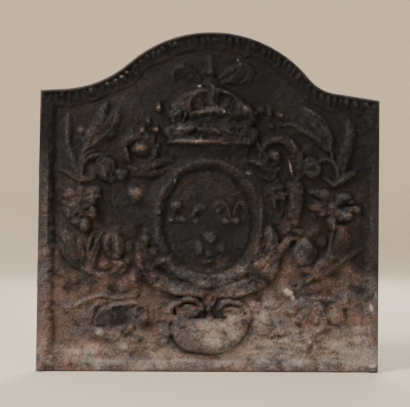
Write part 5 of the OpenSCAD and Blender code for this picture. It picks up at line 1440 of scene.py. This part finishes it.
def iron(name):
    """Iron under soot and painted shade, high places rubbed and highlit, browned and ashy by its
    maps.
    """
    material = bpy.data.materials.new(name)
    material.use_nodes = True
    tree = material.node_tree
    shader = tree.nodes["Principled BSDF"]
    place = Shade.node(tree, "ShaderNodeTexCoord", output="Object")

    def noise(scale, detail=3.0, rough=0.6):
        inputs = {"Vector": place, "Scale": scale, "Detail": detail, "Roughness": rough}
        return Shade.node(tree, "ShaderNodeTexNoise", None, inputs)

    def mapped(label):
        return Shade.node(tree, "ShaderNodeAttribute", {"attribute_name": label}, output="Fac")

    fine, coarse, patch = noise(420.0, 4.0, 0.7), noise(70.0, 4.0), noise(32.0, 3.0)
    fine_off, coarse_off, patch_off = fine - 0.5, coarse - 0.5, patch - 0.5
    grit = fine_off * 0.8 + coarse_off * 0.5
    proud, dust_and_highlight = mapped("proud"), mapped("ash_and_highlight")
    # High places are lighter: rubbed wear and a painted highlight.
    rubbed_and_highlit = (proud + fine_off + coarse_off * 0.5 + 0.12).between(0.0, 1.2)
    deep = (proud * -1.0 + grit * 0.3).between(0.1, 0.9)
    # Cool tint, partly a painted bluish sheen and shade.
    cool_sheen_and_shade = (mapped("cool_sheen_and_shade") + patch_off * 0.6 + fine_off * 0.3).between(0.1, 0.9)
    red = (mapped("red") + coarse_off * 0.3 - patch_off * 0.4).between(0.1, 0.9)
    brown = (mapped("brown") * (1.0 + grit * 0.8)).between(0.0, 1.0)
    ash_and_highlight = (dust_and_highlight * (1.0 + fine_off * 0.9 + coarse_off * 0.6)).between(0.0, 1.1)
    soot_and_shade = (mapped("soot_and_shade") * (1.0 + grit * 0.7)).between(0.0, 1.1)
    pale = (mapped("pale") * (1.0 + fine_off * 1.6 + coarse_off * 0.8)).between(0.08, 1.1)
    # Painted glints: specks of highlight in the colour, a few more on high places.
    painted_glint = (fine + proud * 0.12 + brown * 0.03).between(0.66, 0.80)

    sooty = rubbed_and_highlit.tint(SOOT, SOOT_HIGH)
    browned = (rubbed_and_highlit * 0.5 + grit * 0.6 + 0.2).between(0.0, 1.0).tint(BROWN, BROWN_HIGH)
    dusty_and_highlit = (rubbed_and_highlit * 0.3 + fine_off * 0.8 + coarse_off * 0.4 + dust_and_highlight * 0.45).between(0.0, 1.0)
    colour = ash_and_highlight.tint(brown.tint(sooty, browned), dusty_and_highlit.tint(ASH, ASH_HIGH))
    speckle = fine_off * (3.9 - ash_and_highlight * 1.5 - brown * 1.1) + coarse_off * 0.2 + 1.0
    colour = Shade.node(tree, "ShaderNodeMix", {"data_type": "RGBA", "blend_type": "MULTIPLY"},
                        {0: 1.0, 6: colour, 7: speckle}, 2)
    colour = red.wash((cool_sheen_and_shade * (1.0 - ash_and_highlight * 0.7)).wash(colour, BLUISH), REDDISH)
    # Soot and painted shade blacken the colour.
    colour = (soot_and_shade * 0.85).tint(colour, BLACK)
    # Hollows darken with the soot in them and with painted shade.
    colour = (deep * (1.0 - ash_and_highlight * 0.5)).tint(colour, HOLLOW_SOOT_AND_SHADE)
    colour = (painted_glint * (0.5 - soot_and_shade * 0.32)).tint(colour, PAINTED_GLINT)
    # Pale lime spots and painted white highlights.
    colour = pale.tint(colour, LIME_AND_HIGHLIGHT)
    rough = ash_and_highlight * 0.2 + 0.50 + fine * 0.30
    bump = Shade.node(tree, "ShaderNodeBump", None,
                      {"Height": fine + coarse * 0.5, "Distance": 0.0008, "Strength": 0.9})
    for result, socket in ((colour, "Base Color"), (rough, "Roughness"), (bump, "Normal")):
        tree.links.new(result.socket, shader.inputs[socket])
    shader.inputs["Specular IOR Level"].default_value = 0.16
    return material


finishes = {slot: iron(slot) for slot in ("sooty_iron", "rubbed_iron", "rusty_iron", "ashy_iron")}
print("finishes:", list(finishes))

# %% Make all carved pieces
faces_made = 0
for name in names[1:]:
    piece = carved_piece(name)
    faces_made += len(piece.data.polygons)
print(faces_made, "faces on the carved pieces")

# %% [markdown]
# ## The board under the carving
# The board closes the casting. Its front shows between the pieces and dips a little
# under them, its edge is uneven in bands as sand leaves it, and its back is rough.

# %% The board
BOARD_STEP, BACK_STEP, THICKNESS = 1.8, 5.0, 16.0
EDGE_BANDS = ((3.0, 0.2), (6.0, 0.3), (9.5, 0.0), (12.5, 0.3), (15.0, 1.0), (16.0, 2.4))
MIDDLE, REACH = np.array([0.0, 240.0]), 250.0


def board():
    """The board as one closed mesh: carved front, banded edge and rough back."""
    gx, gz = grid(BOARD_STEP)
    depth, near_x, near_z = depth_of(gx, gz)
    inner = depth > 0.4
    px, pz = np.where(inner, gx, near_x), np.where(inner, gz, near_z)
    covered = np.zeros(GX.shape, bool)
    covered[1:-1, 1:-1] = np.logical_and.reduce(corners(cell_owner > 0))
    for _ in range(2):
        covered[1:-1, 1:-1] &= (covered[:-2, 1:-1] & covered[2:, 1:-1]
                                & covered[1:-1, :-2] & covered[1:-1, 2:])
    sink = np.minimum(np.maximum(relief, 0), 0.8) * (DEPTH > 1.5)
    high = sample(np.where(covered | (DEPTH < 6), ground - sink, surface), px, pz) * inner
    _, top, quads, edges = skin(np.logical_or.reduce(corners(inner)), px, pz, high)

    follow = dict(edges.tolist())
    ring = [int(edges[0, 0])]
    while follow[ring[-1]] != ring[0]:
        ring.append(follow[ring[-1]])
    ring_at = top[ring]
    points, faces = [top], quads.tolist()
    n, m = len(top), len(ring)
    before = ring
    for k, (down, inset) in enumerate(EDGE_BANDS):
        uneven = 0.35 * sample(grain(50 + k, 2.6), ring_at[:, 0], ring_at[:, 2])
        row = ring_at.copy()
        scale = 1 - (inset + uneven) / REACH
        row[:, [0, 2]] = MIDDLE + (ring_at[:, [0, 2]] - MIDDLE) * scale[:, None]
        row[:, 1] = FACE_Y + down
        points.append(row)
        now = [n + k * m + i for i in range(m)]
        faces += [[before[(i + 1) % m], before[i], now[i], now[(i + 1) % m]] for i in range(m)]
        before = now

    hx, hz = grid(BACK_STEP)
    keep = depth_of(hx, hz)[0] > 6
    hx, hz = hx[keep], hz[keep]
    flat = np.concatenate([points[-1][:, [0, 2]], np.stack([hx, hz], -1)])
    backs = inner_triangles(flat.tolist(), [(i, (i + 1) % m) for i in range(m)])
    faces += [[before[0] + c, before[0] + b, before[0] + a] for a, b, c in backs]
    sandy = grains((0.55, 60, 16), (0.38, 61, 5)) - 0.5 * ramp(grain(62, 4.0), 1.2, 2.4)
    points.append(np.stack([hx, FACE_Y + THICKNESS + sample(sandy, hx, hz), hz], -1))
    points = np.concatenate(points)
    mesh = cast("plate", points, faces, len(faces))
    row, column = grid_place(points[:, 0], points[:, 2])
    return add_piece(mesh, "plate", row * GX.shape[1] + column, points[:, 1] > FACE_Y + 4)


plate = board()
print(len(plate.data.polygons), "faces on the board")

# %% [markdown]
# ## A pale studio
# The plate stands on a round floor that curves up into a wall, so it looks the same
# from every side. A soft window light from the upper left draws the relief.


# %% Floor and light
def matt(name, colour):
    """A plain matt material."""
    material = bpy.data.materials.new(name)
    material.use_nodes = True
    shader = material.node_tree.nodes["Principled BSDF"]
    shader.inputs["Base Color"].default_value = colour
    shader.inputs["Roughness"].default_value = 0.9
    return material


def bowl():
    """A round floor that curves up into a wall, the same from every side."""
    turns, flat, bend, high, lowered = 96, 2.6, 0.8, 3.2, 0.0006
    profile = [(flat * k / 6, 0.0) for k in range(1, 7)]
    profile += [(flat + bend * math.sin(a), bend * (1 - math.cos(a)))
                for a in np.linspace(0, math.pi / 2, 10)[1:]]
    profile += [(flat + bend, high)]
    verts = [(0, 0, -lowered)]
    for r, z in profile:
        verts += [(r * math.cos(t), r * math.sin(t), z - lowered)
                  for t in np.linspace(0, 2 * math.pi, turns, False)]
    around = [(i, (i + 1) % turns) for i in range(turns)]
    faces = [(0, 1 + i, 1 + j) for i, j in around]
    for a in range(1, 1 + (len(profile) - 1) * turns, turns):
        faces += [(a + i, a + turns + i, a + turns + j, a + j) for i, j in around]
    mesh = bpy.data.meshes.new("studio_floor")
    mesh.from_pydata(verts, [], faces)
    mesh.polygons.foreach_set("use_smooth", np.ones(len(faces), bool))
    floor = bpy.data.objects.new("studio_floor", mesh)
    floor.data.materials.append(matt("pale_paper", (0.90, 0.79, 0.63, 1)))
    bpy.context.scene.collection.objects.link(floor)


def soft_light(name, place, size, watts, aim=(0, 0, 0.25)):
    """A round area light that looks at the middle of the plate."""
    lamp = bpy.data.objects.new(name, bpy.data.lights.new(name, "AREA"))
    lamp.data.shape, lamp.data.size, lamp.data.energy = "DISK", size, watts
    lamp.location = place
    lamp.rotation_mode = "QUATERNION"
    lamp.rotation_quaternion = (Vector(aim) - Vector(place)).to_track_quat("-Z", "Y")
    bpy.context.scene.collection.objects.link(lamp)


bowl()
soft_light("window", (-1.45, -1.3, 2.1), 0.9, 80)
soft_light("fill", (1.5, -1.8, 1.2), 1.6, 9)
soft_light("behind", (0.4, 1.9, 1.6), 1.4, 45)
world = bpy.data.worlds.new("studio")
bpy.context.scene.world = world
world.use_nodes = True
sky = world.node_tree.nodes["Background"]
sky.inputs["Color"].default_value = (0.95, 0.96, 1.0, 1)
sky.inputs["Strength"].default_value = 0.23
print("floor, three lights and a dim sky")
